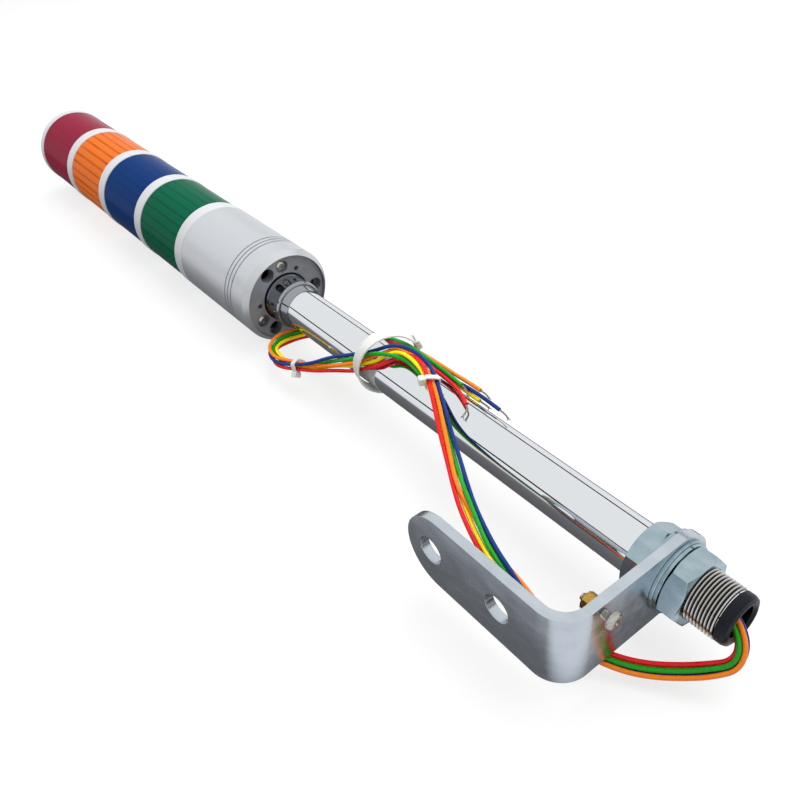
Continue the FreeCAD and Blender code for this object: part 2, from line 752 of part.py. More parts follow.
# Cap on the last lens, hollow below, with three bosses that take the rods.
def top_cap():
    body = new_body("top_cap")
    low = "Sizes.spigot_height"
    high = "(Sizes.spigot_height + Sizes.cap_height)"
    edge = "Sizes.head_radius"
    inner = "(Sizes.spigot_radius - Sizes.spigot_wall)"
    roof = "(Sizes.spigot_height + Sizes.cap_height - Sizes.cap_roof)"
    soft = "Sizes.cap_round"
    spun(body, "CapTurn", [
        ("0", roof),
        (inner, roof),
        (inner, "0"),
        ("Sizes.spigot_radius", "0"),
        ("Sizes.spigot_radius", low),
        (edge + " - 0.4", low),
        (edge, low + " + 0.4"),
        (edge, high + " - " + soft),
        (edge + " - 0.29 * " + soft, high + " - 0.29 * " + soft),
        (edge + " - " + soft, high),
        ("0", high),
    ])
    doc.recompute()
    bossed(body, "Boss", low, "Sizes.boss_radius", "Sizes.boss_circle", 61, roof + " - " + low)
    doc.recompute()
    bored(body, "RodSeat", low + " + Sizes.rod_into_cap", "Sizes.screw_radius", "Sizes.boss_circle", 61,
          "Sizes.rod_into_cap")
    place(body, tier_height(4) + " - Sizes.spigot_height")
    return body


# Long studs from the housing's bosses through the decks into the cap.
def stack_rods():
    start = size("plate_recess") + size("plate_thickness") + size("boss_height") - size("rod_into_boss")
    stop = size("base_height") + 4 * (size("ring_height") + size("lens_height")) + size("rod_into_cap")
    rod = cylinder("RodSingle", "Sizes.screw_radius", "%s" % (stop - start))
    return repeated("stack_rods", rod, (61, 181, 301), size("boss_circle"), BASE + " + %s" % start)


# Corner points of each lead from inside the bush to its free end, set by hand as distances
# from the pole's axis and from the leg's lower face. The first forty run side by side.
lead_route = {
    "lead_red": [
        (-0.4, -0.3, -12.0), (-0.4, -0.3, -22.0), (4.9, 3.6, -33.0), (11.2, 8.7, -34.8),
        (14.8, 14.2, -28.4), (19.4, 18.4, -21.4), (22.3, 24.9, -12.7), (23.0, 31.3, -3.4),
        (21.6, 37.6, 8.8), (17.6, 42.2, 21.0), (11.5, 45.8, 32.8), (6.6, 48.1, 45.1), (5.0, 47.9, 62.4),
        (1.8, 40.1, 83.6), (-0.4, 34.0, 95.5), (-3.2, 26.5, 108.4), (-7.8, 19.2, 122.1),
        (-14.3, 11.5, 135.5), (-19.3, 5.3, 147.2), (-18.3, -0.6, 158.7), (-16.1, -2.9, 170.4),
        (-15.3, 0.2, 176.5), (-14.1, 4.7, 179.7), (-11.2, 9.1, 183.2), (-7.7, 13.3, 189.8),
        (-3.0, 16.1, 199.0), (6.1, 18.6, 214.4), (11.5, 23.4, 227.2), (14.7, 27.4, 240.6),
        (18.5, 30.0, 251.9), (20.9, 29.9, 262.1), (20.0, 25.7, 270.4), (20.1, 19.6, 273.9),
        (20.2, 13.0, 273.8), (20.4, 4.8, 273.2), (19.7, -2.5, 266.9), (14.1, -10.6, 252.8),
        (4.1, -15.0, 233.6), (-5.1, -14.0, 212.1), (-10.5, -10.5, 192.4), (-11.0, -9.2, 177.0),
        (-11.0, -8.8, 163.0), (-11.2, -8.2, 150.0), (-12.2, -6.0, 138.5), (-13.4, -2.6, 130.0),
        (-13.7, 0.3, 124.5),
    ],
    "lead_green": [
        (-2.6, 0.4, -12.0), (-2.6, 0.4, -21.8), (3.1, 4.8, -34.0), (10.6, 10.0, -36.8),
        (15.3, 15.7, -30.1), (20.3, 20.1, -23.1), (23.3, 26.7, -14.2), (24.0, 33.3, -4.6),
        (22.3, 39.6, 7.9), (17.2, 44.4, 20.1), (9.9, 47.2, 31.8), (3.8, 48.0, 44.2), (1.3, 45.4, 60.7),
        (-1.5, 36.3, 80.9), (-2.7, 30.7, 93.0), (-3.6, 23.6, 106.3), (-6.5, 15.6, 120.3),
        (-11.5, 8.5, 134.6), (-14.3, 4.3, 147.1), (-14.8, 1.6, 159.2), (-15.6, -0.2, 170.1),
        (-17.3, 1.8, 176.1), (-17.6, 5.1, 180.9), (-15.7, 9.1, 185.4), (-12.0, 12.5, 192.1),
        (-7.0, 15.1, 201.3), (3.0, 16.9, 216.5), (8.9, 20.0, 229.3), (14.0, 22.8, 242.0),
        (17.7, 25.4, 253.1), (18.6, 27.3, 262.3), (17.6, 25.7, 270.8), (16.4, 19.7, 274.8),
        (16.4, 12.7, 275.5), (16.3, 4.6, 273.8), (15.7, -2.8, 268.3), (10.0, -11.9, 254.8),
        (1.7, -15.8, 234.7), (-6.8, -15.5, 212.5), (-11.9, -12.3, 192.5), (-12.2, -12.0, 178.0),
        (-12.0, -11.3, 164.0), (-12.2, -10.6, 151.0), (-12.7, -8.9, 138.0),
    ],
    "lead_yellow": [
        (-0.4, -2.6, -12.0), (-0.4, -2.6, -21.9), (5.5, 1.5, -33.8), (12.9, 7.2, -35.9),
        (17.1, 13.3, -29.4), (21.7, 18.0, -22.2), (24.8, 24.9, -13.2), (25.5, 31.7, -3.5),
        (23.8, 38.3, 9.0), (19.3, 43.9, 21.2), (11.9, 48.3, 32.5), (4.8, 50.2, 44.4), (2.7, 46.9, 61.0),
        (2.9, 37.9, 81.9), (0.8, 32.0, 94.4), (-1.9, 24.6, 107.6), (-6.0, 17.6, 121.8),
        (-12.1, 10.7, 135.9), (-17.1, 4.7, 147.8), (-15.9, -1.1, 159.1), (-13.8, -3.3, 170.6),
        (-13.5, -1.0, 177.3), (-13.5, 3.0, 181.3), (-11.7, 7.5, 184.7), (-8.5, 11.6, 191.0),
        (-4.2, 14.5, 200.1), (5.0, 16.2, 215.6), (11.1, 20.6, 228.1), (14.5, 25.4, 240.7),
        (15.1, 26.6, 252.8), (16.5, 25.9, 261.8), (17.3, 23.8, 269.3), (17.7, 18.8, 273.0),
        (17.8, 12.6, 273.8), (18.3, 4.9, 272.6), (17.3, -2.3, 266.9), (11.9, -11.8, 253.4),
        (3.4, -17.5, 233.9), (-4.2, -17.3, 211.5), (-8.6, -13.6, 191.4), (-8.2, -13.6, 177.0),
        (-7.6, -13.1, 162.0), (-7.3, -12.4, 149.0), (-7.8, -11.3, 137.0), (-8.7, -10.4, 126.5),
    ],
    "lead_blue": [
        (-2.6, -3.3, -12.0), (-2.6, -3.3, -22.1), (3.8, 1.3, -35.6), (12.8, 7.8, -38.2),
        (17.9, 14.6, -31.3), (22.8, 19.3, -23.8), (25.9, 26.3, -14.6), (26.5, 33.4, -4.7),
        (24.6, 40.2, 8.0), (18.3, 46.6, 19.5), (8.8, 49.0, 30.3), (1.5, 47.4, 43.0), (1.0, 42.9, 59.6),
        (0.3, 34.4, 80.5), (-1.8, 28.4, 92.5), (-5.2, 21.6, 105.5), (-8.5, 14.5, 119.5),
        (-13.7, 7.1, 133.8), (-17.4, 0.9, 146.2), (-19.0, -5.0, 158.0), (-18.7, -6.3, 170.8),
        (-18.6, -2.5, 178.3), (-17.8, 2.7, 182.5), (-15.9, 7.1, 186.8), (-13.0, 11.0, 193.4),
        (-8.9, 14.3, 202.7), (0.9, 17.4, 217.5), (7.3, 23.3, 229.2), (11.9, 27.8, 241.6),
        (16.4, 29.5, 252.8), (18.6, 30.4, 262.8), (18.8, 27.3, 272.0), (18.6, 20.2, 275.8),
        (18.6, 12.8, 276.4), (18.8, 4.1, 274.8), (18.2, -3.9, 268.6), (14.3, -12.8, 253.8),
        (5.8, -16.8, 233.5), (-3.1, -15.1, 211.6), (-8.4, -11.3, 191.8), (-8.9, -11.2, 177.0),
        (-9.0, -11.0, 162.0), (-9.3, -11.4, 149.0), (-10.1, -12.0, 137.0), (-10.4, -12.1, 125.0),
        (-10.5, -11.3, 113.5),
    ],
    "lead_orange": [
        (-4.0, -1.5, -12.0), (-4.0, -1.5, -22.2), (2.5, 3.2, -35.7), (11.6, 9.5, -39.1),
        (17.0, 16.5, -32.3), (21.8, 21.2, -24.9), (24.8, 28.1, -15.8), (25.3, 35.0, -5.9),
        (23.1, 41.5, 6.7), (16.1, 45.9, 18.5), (8.0, 46.5, 30.2), (3.4, 45.6, 43.5), (3.5, 43.6, 60.5),
        (1.1, 36.1, 81.8), (-2.0, 32.7, 94.8), (-4.8, 25.1, 107.6), (-8.4, 17.0, 120.9),
        (-14.4, 9.3, 134.5), (-18.5, 3.3, 146.5), (-17.5, -2.7, 158.3), (-16.7, -5.3, 170.6),
        (-16.9, -1.2, 177.4), (-15.6, 3.6, 181.1), (-13.6, 8.8, 184.5), (-10.1, 13.2, 191.0),
        (-5.5, 16.3, 200.2), (3.9, 18.8, 215.4), (9.5, 22.0, 228.2), (11.5, 25.1, 241.9),
        (13.9, 28.6, 253.3), (16.4, 29.2, 262.7), (16.1, 27.1, 271.9), (14.7, 20.2, 276.3),
        (14.5, 12.5, 277.2), (15.7, 3.7, 275.8), (15.4, -4.6, 269.7), (9.0, -13.6, 255.7),
        (0.7, -17.9, 235.2), (-6.3, -17.8, 212.3), (-10.7, -14.3, 191.9), (-10.7, -14.6, 177.0),
        (-10.3, -14.3, 162.0), (-10.6, -14.2, 148.0), (-11.5, -14.0, 137.5), (-11.7, -13.8, 129.5),
    ],
}


def lead_points(label):
    return [Vector(*point) for point in lead_route[label]]


def tube(points, radius, label):
    """Round tube of straight runs joined by tangent arcs, and its smallest arc."""
    edges = []
    start = points[0]
    smallest = 1e9
    for index in range(1, len(points) - 1):
        corner = points[index]
        back = points[index - 1] - corner
        ahead = points[index + 1] - corner
        shorter = min(back.Length, ahead.Length)
        back.normalize()
        ahead.normalize()
        half = (math.pi - back.getAngle(ahead)) / 2
        cut = 0.45 * shorter
        smallest = min(smallest, cut / math.tan(half))
        first = corner + back * cut
        last = corner + ahead * cut
        inward = (back + ahead).normalize()
        bulge = cut / math.tan(half)
        centre = corner + inward * (cut / math.sin(half))
        middle = centre - inward * bulge
        edges.append(Part.LineSegment(start, first).toShape())
        edges.append(Part.Arc(first, middle, last).toShape())
        start = last
    edges.append(Part.LineSegment(start, points[-1]).toShape())
    path = Part.Wire(edges)
    ring = Part.Wire([Part.Circle(points[0], points[1] - points[0], radius).toShape()])
    solid = path.makePipeShell([ring], True, False)
    share = solid.Volume / (math.pi * radius * radius * path.Length)
    print("%s smallest arc %.1f mm, length %.1f mm, volume share %.4f" % (label, smallest, path.Length, share))
    return solid


def lead(label):
    piece = doc.addObject("Part::Feature", label)
    piece.Shape = tube(lead_points(label), size("wire_radius"), label)
    piece.Label = label
    place(piece, LEG)
    return piece


# Bare tinned strands beyond the insulation, one at each lead's end.
bare_route = {
    "lead_red": [(-13.85, 1.77, 121.70), (-13.3, 4.2, 120.4), (-12.0, 7.1, 119.9)],
    "lead_green": [(-12.83, -8.45, 134.59), (-13.6, -6.4, 131.2), (-14.1, -3.9, 128.2)],
    "lead_yellow": [(-8.96, -10.14, 123.49), (-9.8, -9.4, 120.2), (-10.8, -8.2, 117.0)],
    "lead_blue": [(-10.53, -11.09, 110.50), (-11.1, -10.0, 107.0), (-12.1, -8.2, 104.0)],
    "lead_orange": [(-11.78, -13.72, 126.50), (-12.2, -12.9, 123.3), (-12.9, -11.4, 120.6)],
}


def bare_ends():
    strands = []
    for label, bends in bare_route.items():
        points = [lead_points(label)[-1]] + [Vector(*point) for point in bends]
        strands.append(tube(points, size("bare_radius"), label + " bare end"))
    group = doc.addObject("Part::Feature", "bare_ends")
    group.Shape = Part.makeCompound(strands)
    group.Label = "bare_ends"
    place(group, LEG)
    return group


# The same five leads inside the pole, from the control board down to the bush.
def inner_leads():
    doc.recompute()
    strands = []
    for label in lead_route:
        foot = lead_points(label)[0]
        tall = size("base_rise") + size("board_seat") - foot.z
        strands.append(Part.makeCylinder(size("wire_radius"), tall, foot))
    group = doc.addObject("Part::Feature", "inner_leads")
    group.Shape = Part.makeCompound(strands)
    group.Label = "inner_leads"
    place(group, LEG)
    return group


def outermost(circles, turn):
    return max(circles, key=lambda ring: ring[0] * math.cos(turn) + ring[1] * math.sin(turn) + ring[2])


def band(circles, clear, thickness, width):
    """Strap drawn taut round the outside of a group of circles, each given as x, y and radius."""
    held = []
    for step in range(720):
        ring = outermost(circles, math.radians(step / 2))
        if not held or held[-1] != ring:
            held.append(ring)
    if held[0] == held[-1]:
        held.pop()
    loops = []
    for grow in (clear, clear + thickness):
        normals = []
        for index, (ax, ay, ar) in enumerate(held):
            bx, by, br = held[(index + 1) % len(held)]
            away = math.hypot(bx - ax, by - ay)
            heading = math.atan2(by - ay, bx - ax)
            normals.append(heading - math.acos((ar - br) / away))
        edges = []
        for index, (x, y, radius) in enumerate(held):
            first = normals[index - 1]
            last = normals[index]
            while last < first:
                last += 2 * math.pi
            spots = []
            for angle in (first, (first + last) / 2, last):
                spots.append(Vector(x, y, 0) + Vector(math.cos(angle), math.sin(angle), 0) * (radius + grow))
            edges.append(Part.Arc(*spots).toShape())
            nx, ny, following = held[(index + 1) % len(held)]
            reach = Vector(nx, ny, 0) + Vector(math.cos(last), math.sin(last), 0) * (following + grow)
            edges.append(Part.LineSegment(spots[2], reach).toShape())
        loops.append(Part.Face(Part.Wire(edges)))
    outer = loops[1].extrude(Vector(0, 0, width))
    inner = loops[0].extrude(Vector(0, 0, width))
    loop = outer.cut(inner)
    loop.translate(Vector(0, 0, -width / 2))
    return loop


def tie_head(circles, clear, thickness, long, wide, tall, angle):
    """Latch of a tie, standing on the strap's outside in the given direction."""
    turn = math.radians(angle)
    x, y, radius = outermost(circles, turn)
    foot = Vector(x, y, 0) + Vector(math.cos(turn), math.sin(turn), 0) * (radius + clear + thickness / 3)
    head = Part.makeBox(long, tall, wide, Vector(-long / 2, 0, -wide / 2))
    head = head.makeFillet(0.5, head.Edges)
    head.rotate(Vector(0, 0, 0), Vector(0, 0, 1), angle - 90)
    head.translate(foot)
    return head


def spot_at_height(label, height, first, last):
    points = lead_points(label)
    for index in range(first, last):
        low, high = sorted((points[index], points[index + 1]), key=lambda point: point.z)
        if low.z <= height <= high.z:
            return low + (high - low) * ((height - low.z) / (high.z - low.z))
    return None


# The wide tie round the pole and both passes of the leads.
def pole_tie():
    doc.recompute()
    wide = size("tie_width")
    thick = size("tie_thickness")
    clear = size("tie_clearance")
    circles = [(0.0, 0.0, size("pole_radius"))]
    for label in lead_route:
        for first, last in ((20, 28), (36, 41)):
            for edge in (-wide / 2, wide / 2):
                spot = spot_at_height(label, size("tie_rise") + edge, first, last)
                circles.append((spot.x, spot.y, size("wire_radius") * 1.15))
    loop = band(circles, clear, thick, wide)
    head = tie_head(circles, clear, thick, 7.0, wide + 1.4, 4.6, -158)
    piece = doc.addObject("Part::Feature", "pole_tie")
    piece.Shape = Part.makeCompound([loop.fuse(head).removeSplitter()])
    piece.Label = "pole_tie"
    place(piece, LEG + " + Sizes.tie_rise")
    return piece


def bundle_tie(label, index, away):
    """Small tie round the five leads where they pass their point of that number."""
    doc.recompute()
    wide = size("small_tie_width")
    thick = size("small_tie_thickness")
    clear = size("tie_clearance") / 2
    spots = []
    ahead = Vector(0, 0, 0)
    for name in lead_route:
        before, here, after = lead_points(name)[index - 1:index + 2]
        spots.append((before + here * 6 + after) * 0.125)
        ahead += (after - before).normalize()
    ahead.normalize()
    middle = sum(spots, Vector(0, 0, 0)) * 0.2
    aside = Vector(*away).cross(ahead).normalize()
    turn = Rotation(aside, ahead.cross(aside), ahead, "ZXY")
    circles = []
    for spot in spots:
        flat = turn.inverted().multVec(spot - middle)
        circles.append((flat.x, flat.y, size("wire_radius")))
    loop = band(circles, clear, thick, wide)
    head = tie_head(circles, clear, thick, 4.6, wide + 1.1, 3.0, 90)
    shape = loop.fuse(head).removeSplitter()
    shape.Placement = Placement(middle, turn)
    piece = doc.addObject("Part::Feature", label)
    piece.Shape = Part.makeCompound([shape])
    piece.Label = label
    place(piece, LEG)
    return piece


tiers = [("green", 0), ("blue", 1), ("orange", 2), ("red", 3)]
pieces = [
    bracket(),
    pole(),
    flat_ring("upper_washer", "Sizes.upper_washer_radius", "Sizes.pole_radius + Sizes.pole_hole_gap",
              "Sizes.upper_washer_height", LEG + " + Sizes.bracket_sheet"),
    hexagon_nut("upper_nut", "Sizes.nut_flats", "Sizes.pole_radius", "Sizes.nut_height",
                LEG + " + Sizes.bracket_sheet + Sizes.upper_washer_height", turn=5.0),
    flat_ring("flat_washer", "Sizes.flat_washer_radius", "Sizes.pole_radius + Sizes.pole_hole_gap",
              "Sizes.flat_washer_height", LEG + " - Sizes.flat_washer_height"),
    spring_washer(),
    hexagon_nut("lower_nut", "Sizes.nut_flats", "Sizes.pole_radius", "Sizes.nut_height",
                LEG + " - Sizes.flat_washer_height - Sizes.spring_washer_height - Sizes.nut_height", turn=23.0),
    bush(),
    earth_screw(),
    hexagon_nut("earth_nut", "Sizes.earth_nut_flats", "Sizes.earth_screw_radius", "Sizes.earth_nut_height",
                LEG + " + Sizes.bracket_sheet", "-Sizes.earth_side", "-Sizes.earth_reach", turn=12.0),
    base_housing(),
    bottom_plate(),
    plate_screws(),
    collar(),
    flat_ring("collar_gasket", "Sizes.gasket_radius", "Sizes.collar_spigot + 0.2", "Sizes.gasket_thickness",
              BASE + " + Sizes.plate_recess + Sizes.gasket_seat_depth - Sizes.gasket_thickness"),
    flat_ring("collar_nut", "Sizes.collar_nut_radius", "Sizes.collar_spigot", "Sizes.collar_nut_height",
              BASE + " + Sizes.plate_recess + Sizes.plate_thickness"),
    control_board(),
    inner_leads(),
    top_cap(),
    stack_rods(),
    pole_tie(),
    bundle_tie("bundle_tie_loop", 28, (0.78, 0.43, -0.46)),
    bundle_tie("bundle_tie_rise", 18, (-0.06, 0.78, 0.62)),
    bare_ends(),
]
for colour, number in tiers:
    pieces.append(spacer_ring("ring_" + colour, number))
    pieces.append(lens("lens_" + colour, number, 30))
    pieces.append(lamp_board("lamp_board_" + colour, number))
    pieces.append(lamps("lamps_" + colour, number))
for label in lead_route:
    pieces.append(lead(label))
doc.recompute()

for item in doc.Objects:
    if "Invalid" in item.State or "Error" in item.State:
        raise RuntimeError("%s did not build: %s" % (item.Name, item.State))
os.makedirs("parts", exist_ok=True)
for piece in pieces:
    shape = piece.Shape
    if shape.isNull() or not shape.isValid():
        raise RuntimeError("%s has no valid shape" % piece.Label)
    shape.exportStep("parts/%s.step" % piece.Label)
    print("%-18s %10.1f mm3 %d solids" % (piece.Label, shape.Volume, len(shape.Solids)))
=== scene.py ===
import bpy
import math
from mathutils import Matrix, Vector


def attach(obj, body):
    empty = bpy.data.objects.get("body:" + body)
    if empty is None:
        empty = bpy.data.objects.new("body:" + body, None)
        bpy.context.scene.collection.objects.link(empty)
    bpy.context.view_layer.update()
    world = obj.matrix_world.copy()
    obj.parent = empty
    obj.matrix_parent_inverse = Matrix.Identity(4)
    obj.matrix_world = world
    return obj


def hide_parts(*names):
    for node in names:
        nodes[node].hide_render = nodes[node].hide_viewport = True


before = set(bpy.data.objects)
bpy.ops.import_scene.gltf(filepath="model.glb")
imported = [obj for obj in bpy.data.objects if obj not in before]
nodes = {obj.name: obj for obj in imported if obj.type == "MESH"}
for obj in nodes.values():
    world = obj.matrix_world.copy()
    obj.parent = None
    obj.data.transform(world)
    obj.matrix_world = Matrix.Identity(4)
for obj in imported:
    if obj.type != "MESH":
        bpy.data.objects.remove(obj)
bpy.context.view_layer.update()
mm = 0.001
poleAxis = Vector((0.0, -0.065, 0.0))      # the pole stands this far off the wall face
prismCount = 30      # prisms moulded round the inside of each lens


# camera, solved from the rims, the pole's sides and the bracket's corners
view = {"place": (-0.27637, 0.14634, -0.17218), "lens": 38.65, "sensor": 36.0, "near": 0.01,
        "right": (0.06368, -0.78183, -0.62023),
        "up": (-0.77680, -0.42900, 0.46102),
        "back": (-0.62651, 0.45244, -0.63465)}


def placeCamera():
    bpy.ops.object.camera_add(location=view["place"])
    camera = bpy.context.object
    camera.name = "photoCamera"
    turn = Matrix((view["right"], view["up"], view["back"])).transposed()
    camera.rotation_euler = turn.to_euler()
    camera.data.lens = view["lens"]
    camera.data.sensor_width = view["sensor"]
    camera.data.clip_start = view["near"]
    bpy.context.scene.camera = camera


placeCamera()
print("camera placed")


# an sRGB hex colour as the linear values that a socket takes
def linear(hexCode):
    channels = []
    for start in (0, 2, 4):
        value = int(hexCode[start:start + 2], 16) / 255
        channels.append(value / 12.92 if value <= 0.04045 else ((value + 0.055) / 1.055) ** 2.4)
    return (*channels, 1.0)


def addNode(tree, kind, settings=None, links=None):
    node = tree.nodes.new(kind)
    for key, value in (settings or {}).items():
        if isinstance(key, int) or key in node.inputs:
            node.inputs[key].default_value = value
        else:
            setattr(node, key, value)
    for socket, source in (links or {}).items():
        tree.links.new(source, node.inputs[socket])
    return node


# a new material with its Principled shader set, and the Object coordinates that its patterns read
def startMaterial(name, hexCode, roughness, settings=None):
    material = bpy.data.materials.new(name)
    material.use_nodes = True
    tree = material.node_tree
    shader = tree.nodes["Principled BSDF"]
    shader.inputs["Base Color"].default_value = linear(hexCode)
    shader.inputs["Roughness"].default_value = roughness
    for socket, value in (settings or {}).items():
        shader.inputs[socket].default_value = value
    material.diffuse_color = linear(hexCode)
    place = addNode(tree, "ShaderNodeTexCoord")
    return material, tree, shader, place.outputs["Object"]


# noise of a real size in metres: height is its relief, spread the roughness that it gives
def grain(tree, shader, place, size, height=0.0, spread=None, stretch=(1, 1, 1), detail=3.0):
    fit = addNode(tree, "ShaderNodeMapping", {"Scale": stretch}, {"Vector": place})
    noise = addNode(tree, "ShaderNodeTexNoise", {"Scale": 1 / size, "Detail": detail},
                    {"Vector": fit.outputs[0]})
    if spread:
        fade = addNode(tree, "ShaderNodeMapRange",
                       {"From Min": 0.3, "From Max": 0.7, "To Min": spread[0], "To Max": spread[1]},
                       {"Value": noise.outputs["Fac"]})
        tree.links.new(fade.outputs["Result"], shader.inputs["Roughness"])
    if height:
        bump = addNode(tree, "ShaderNodeBump", {"Strength": 1.0, "Distance": height},
                       {"Height": noise.outputs["Fac"]})
        tree.links.new(bump.outputs["Normal"], shader.inputs["Normal"])
    return noise


# the base colour fades from dark to light where a pattern's value goes from low to high
def tint(tree, shader, pattern, dark, light, low=0.3, high=0.7):
    ramp = addNode(tree, "ShaderNodeValToRGB", links={"Fac": pattern.outputs[0]})
    ramp.color_ramp.elements[0].position = low
    ramp.color_ramp.elements[1].position = high
    ramp.color_ramp.elements[0].color = linear(dark)
    ramp.color_ramp.elements[1].color = linear(light)
    tree.links.new(ramp.outputs["Color"], shader.inputs["Base Color"])


# zinc plate with a blue passivate over rolled steel: cool grey, softly mirrored, faint cloudy patches,
# and corners that catch the light as if slightly rounded
def zincPlate(name, dark, light, roughness):
    material, tree, shader, place = startMaterial(name, light, roughness, {"Metallic": 1.0})
    cloud = grain(tree, shader, place, 6 * mm, spread=(roughness - 0.05, roughness + 0.08),
                  stretch=(1, 1, 0.5))
    tint(tree, shader, cloud, dark, light)
    fine = addNode(tree, "ShaderNodeTexNoise", {"Scale": 1 / (0.5 * mm), "Detail": 2.0}, {"Vector": place})
    bump = addNode(tree, "ShaderNodeBump", {"Strength": 0.6, "Distance": 0.012 * mm},
                   {"Height": fine.outputs["Fac"]})
    edge = addNode(tree, "ShaderNodeBevel", {"Radius": 0.35 * mm, "samples": 6},
                   {"Normal": bump.outputs["Normal"]})
    tree.links.new(edge.outputs["Normal"], shader.inputs["Normal"])
    return material


# bright chromium over polished steel: a near perfect mirror, a little hazed in long patches
def chromePlate(name, hexCode, roughness):
    material, tree, shader, place = startMaterial(name, hexCode, roughness, {"Metallic": 1.0})
    grain(tree, shader, place, 14 * mm, spread=(roughness - 0.01, roughness + 0.02), stretch=(1, 1, 0.15))
    return material


# anodised aluminium, turned then etched: pale satin grey with an even grain, drawn coarser than the
# real one so that it shows
def anodisedAluminium():
    material, tree, shader, place = startMaterial("anodisedAluminium", "c6c9cd", 0.34,
                                                  {"Metallic": 0.7, "Specular IOR Level": 0.3})
    bead = grain(tree, shader, place, 0.35 * mm, height=0.008 * mm, spread=(0.34, 0.44))
    tint(tree, shader, bead, "c0c3c7", "cccfd3", 0.25, 0.75)
    return material


# turned aluminium left bare: grey, with rings from the tool's feed, drawn wider apart than they are
def turnedAluminium():
    material, tree, shader, place = startMaterial("turnedAluminium", "999da2", 0.32, {"Metallic": 0.4})
    centred = addNode(tree, "ShaderNodeMapping", {"Location": -poleAxis}, {"Vector": place})
    rings = addNode(tree, "ShaderNodeTexWave",
                    {"wave_type": "RINGS", "rings_direction": "Z", "Scale": 1 / (0.9 * mm * 2 * math.pi),
                     "Distortion": 0.4, "Detail": 1.0}, {"Vector": centred.outputs[0]})
    bump = addNode(tree, "ShaderNodeBump", {"Strength": 0.5, "Distance": 0.02 * mm},
                   {"Height": rings.outputs["Fac"]})
    tree.links.new(bump.outputs["Normal"], shader.inputs["Normal"])
    cloud = addNode(tree, "ShaderNodeTexNoise", {"Scale": 1 / (5 * mm)}, {"Vector": place})
    tint(tree, shader, cloud, "93979b", "9fa2a6")
    return material


# silver-white ABS, moulded with a flake, drawn coarser than it is: smooth with a soft sheen
def silverAbs():
    material, tree, shader, place = startMaterial("silverAbs", "c6c8cc", 0.34,
                                                  {"IOR": 1.54, "Metallic": 0.1, "Specular IOR Level": 0.3})
    flake = grain(tree, shader, place, 0.25 * mm, height=0.004 * mm, spread=(0.3, 0.4), detail=2.0)
    tint(tree, shader, flake, "c0c2c6", "cccdd1", 0.25, 0.75)
    return material


# dyed polycarbonate, moulded clear: light goes into it and comes back in its own colour, and the
# prisms moulded inside show through as fine darker lines along it, as strong as strength says
def polycarbonate(colour, hexCode, deep, strength):
    material, tree, shader, place = startMaterial(colour + "Polycarbonate", hexCode, 0.2,
                                                  {"IOR": 1.585, "Transmission Weight": 0.04,
                                                   "Specular IOR Level": 0.01})
    flow = grain(tree, shader, place, 9 * mm, height=0.01 * mm, spread=(0.15, 0.25), stretch=(1, 1, 0.3))
    centred = addNode(tree, "ShaderNodeMapping", {"Location": -poleAxis}, {"Vector": place})
    around = addNode(tree, "ShaderNodeTexGradient", {"gradient_type": "RADIAL"},
                     {"Vector": centred.outputs[0]})
    turns = addNode(tree, "ShaderNodeMath", {"operation": "MULTIPLY", 1: prismCount * 2 * math.pi},
                    {0: around.outputs["Fac"]})
    wave = addNode(tree, "ShaderNodeMath", {"operation": "SINE"}, {0: turns.outputs[0]})
    stripe = addNode(tree, "ShaderNodeMapRange",
                     {"From Min": 0.3, "From Max": 0.95, "To Min": 0.0, "To Max": strength},
                     {"Value": wave.outputs[0]})
    uneven = addNode(tree, "ShaderNodeMath", {"operation": "MULTIPLY"},
                     {0: stripe.outputs["Result"], 1: flow.outputs["Fac"]})
    doubled = addNode(tree, "ShaderNodeMath", {"operation": "MULTIPLY", 1: 2.0, "use_clamp": True},
                      {0: uneven.outputs[0]})
    shade = addNode(tree, "ShaderNodeMix", {"data_type": "RGBA", 6: linear(hexCode), 7: linear(deep)},
                    {0: doubled.outputs[0]})
    tree.links.new(shade.outputs[2], shader.inputs["Base Color"])
    return material


# PVC sheath drawn over the copper: glossy, with faint ripples from the die
def pvcSheath(colour, hexCode, deep):
    material, tree, shader, place = startMaterial(colour + "PvcSheath", hexCode, 0.3,
                                                  {"IOR": 1.53, "Specular IOR Level": 0.25})
    ripple = grain(tree, shader, place, 2.2 * mm, height=0.006 * mm, spread=(0.24, 0.36), detail=1.0)
    tint(tree, shader, ripple, deep, hexCode, 0.15, 0.45)
    return material


# natural nylon, moulded thin: milky, light glows through its edges
def naturalNylon():
    material, tree, shader, place = startMaterial("naturalNylon", "e9ebe8", 0.38,
                                                  {"IOR": 1.53, "Transmission Weight": 0.15,
                                                   "Subsurface Weight": 0.6, "Subsurface Scale": 2 * mm,
                                                   "Subsurface Radius": (0.9, 1.0, 0.95)})
    grain(tree, shader, place, 0.8 * mm, height=0.01 * mm, spread=(0.32, 0.46))
    return material


# EPDM rubber, moulded: near black with a blue cast and a dull shine
def epdmRubber(name, hexCode):
    material, tree, shader, place = startMaterial(name, hexCode, 0.4,
                                                  {"IOR": 1.52, "Specular IOR Level": 0.2})
    grain(tree, shader, place, 0.5 * mm, height=0.006 * mm, spread=(0.34, 0.46))
    return material


# brass, nickel plate or tin on small machined parts: each in its own colour, with faint tool marks
def machinedMetal(name, dark, light, roughness, height):
    material, tree, shader, place = startMaterial(name, light, roughness, {"Metallic": 1.0})
    mark = grain(tree, shader, place, 0.6 * mm, height=height, spread=(roughness - 0.05, roughness + 0.08))
    tint(tree, shader, mark, dark, light)
    return material


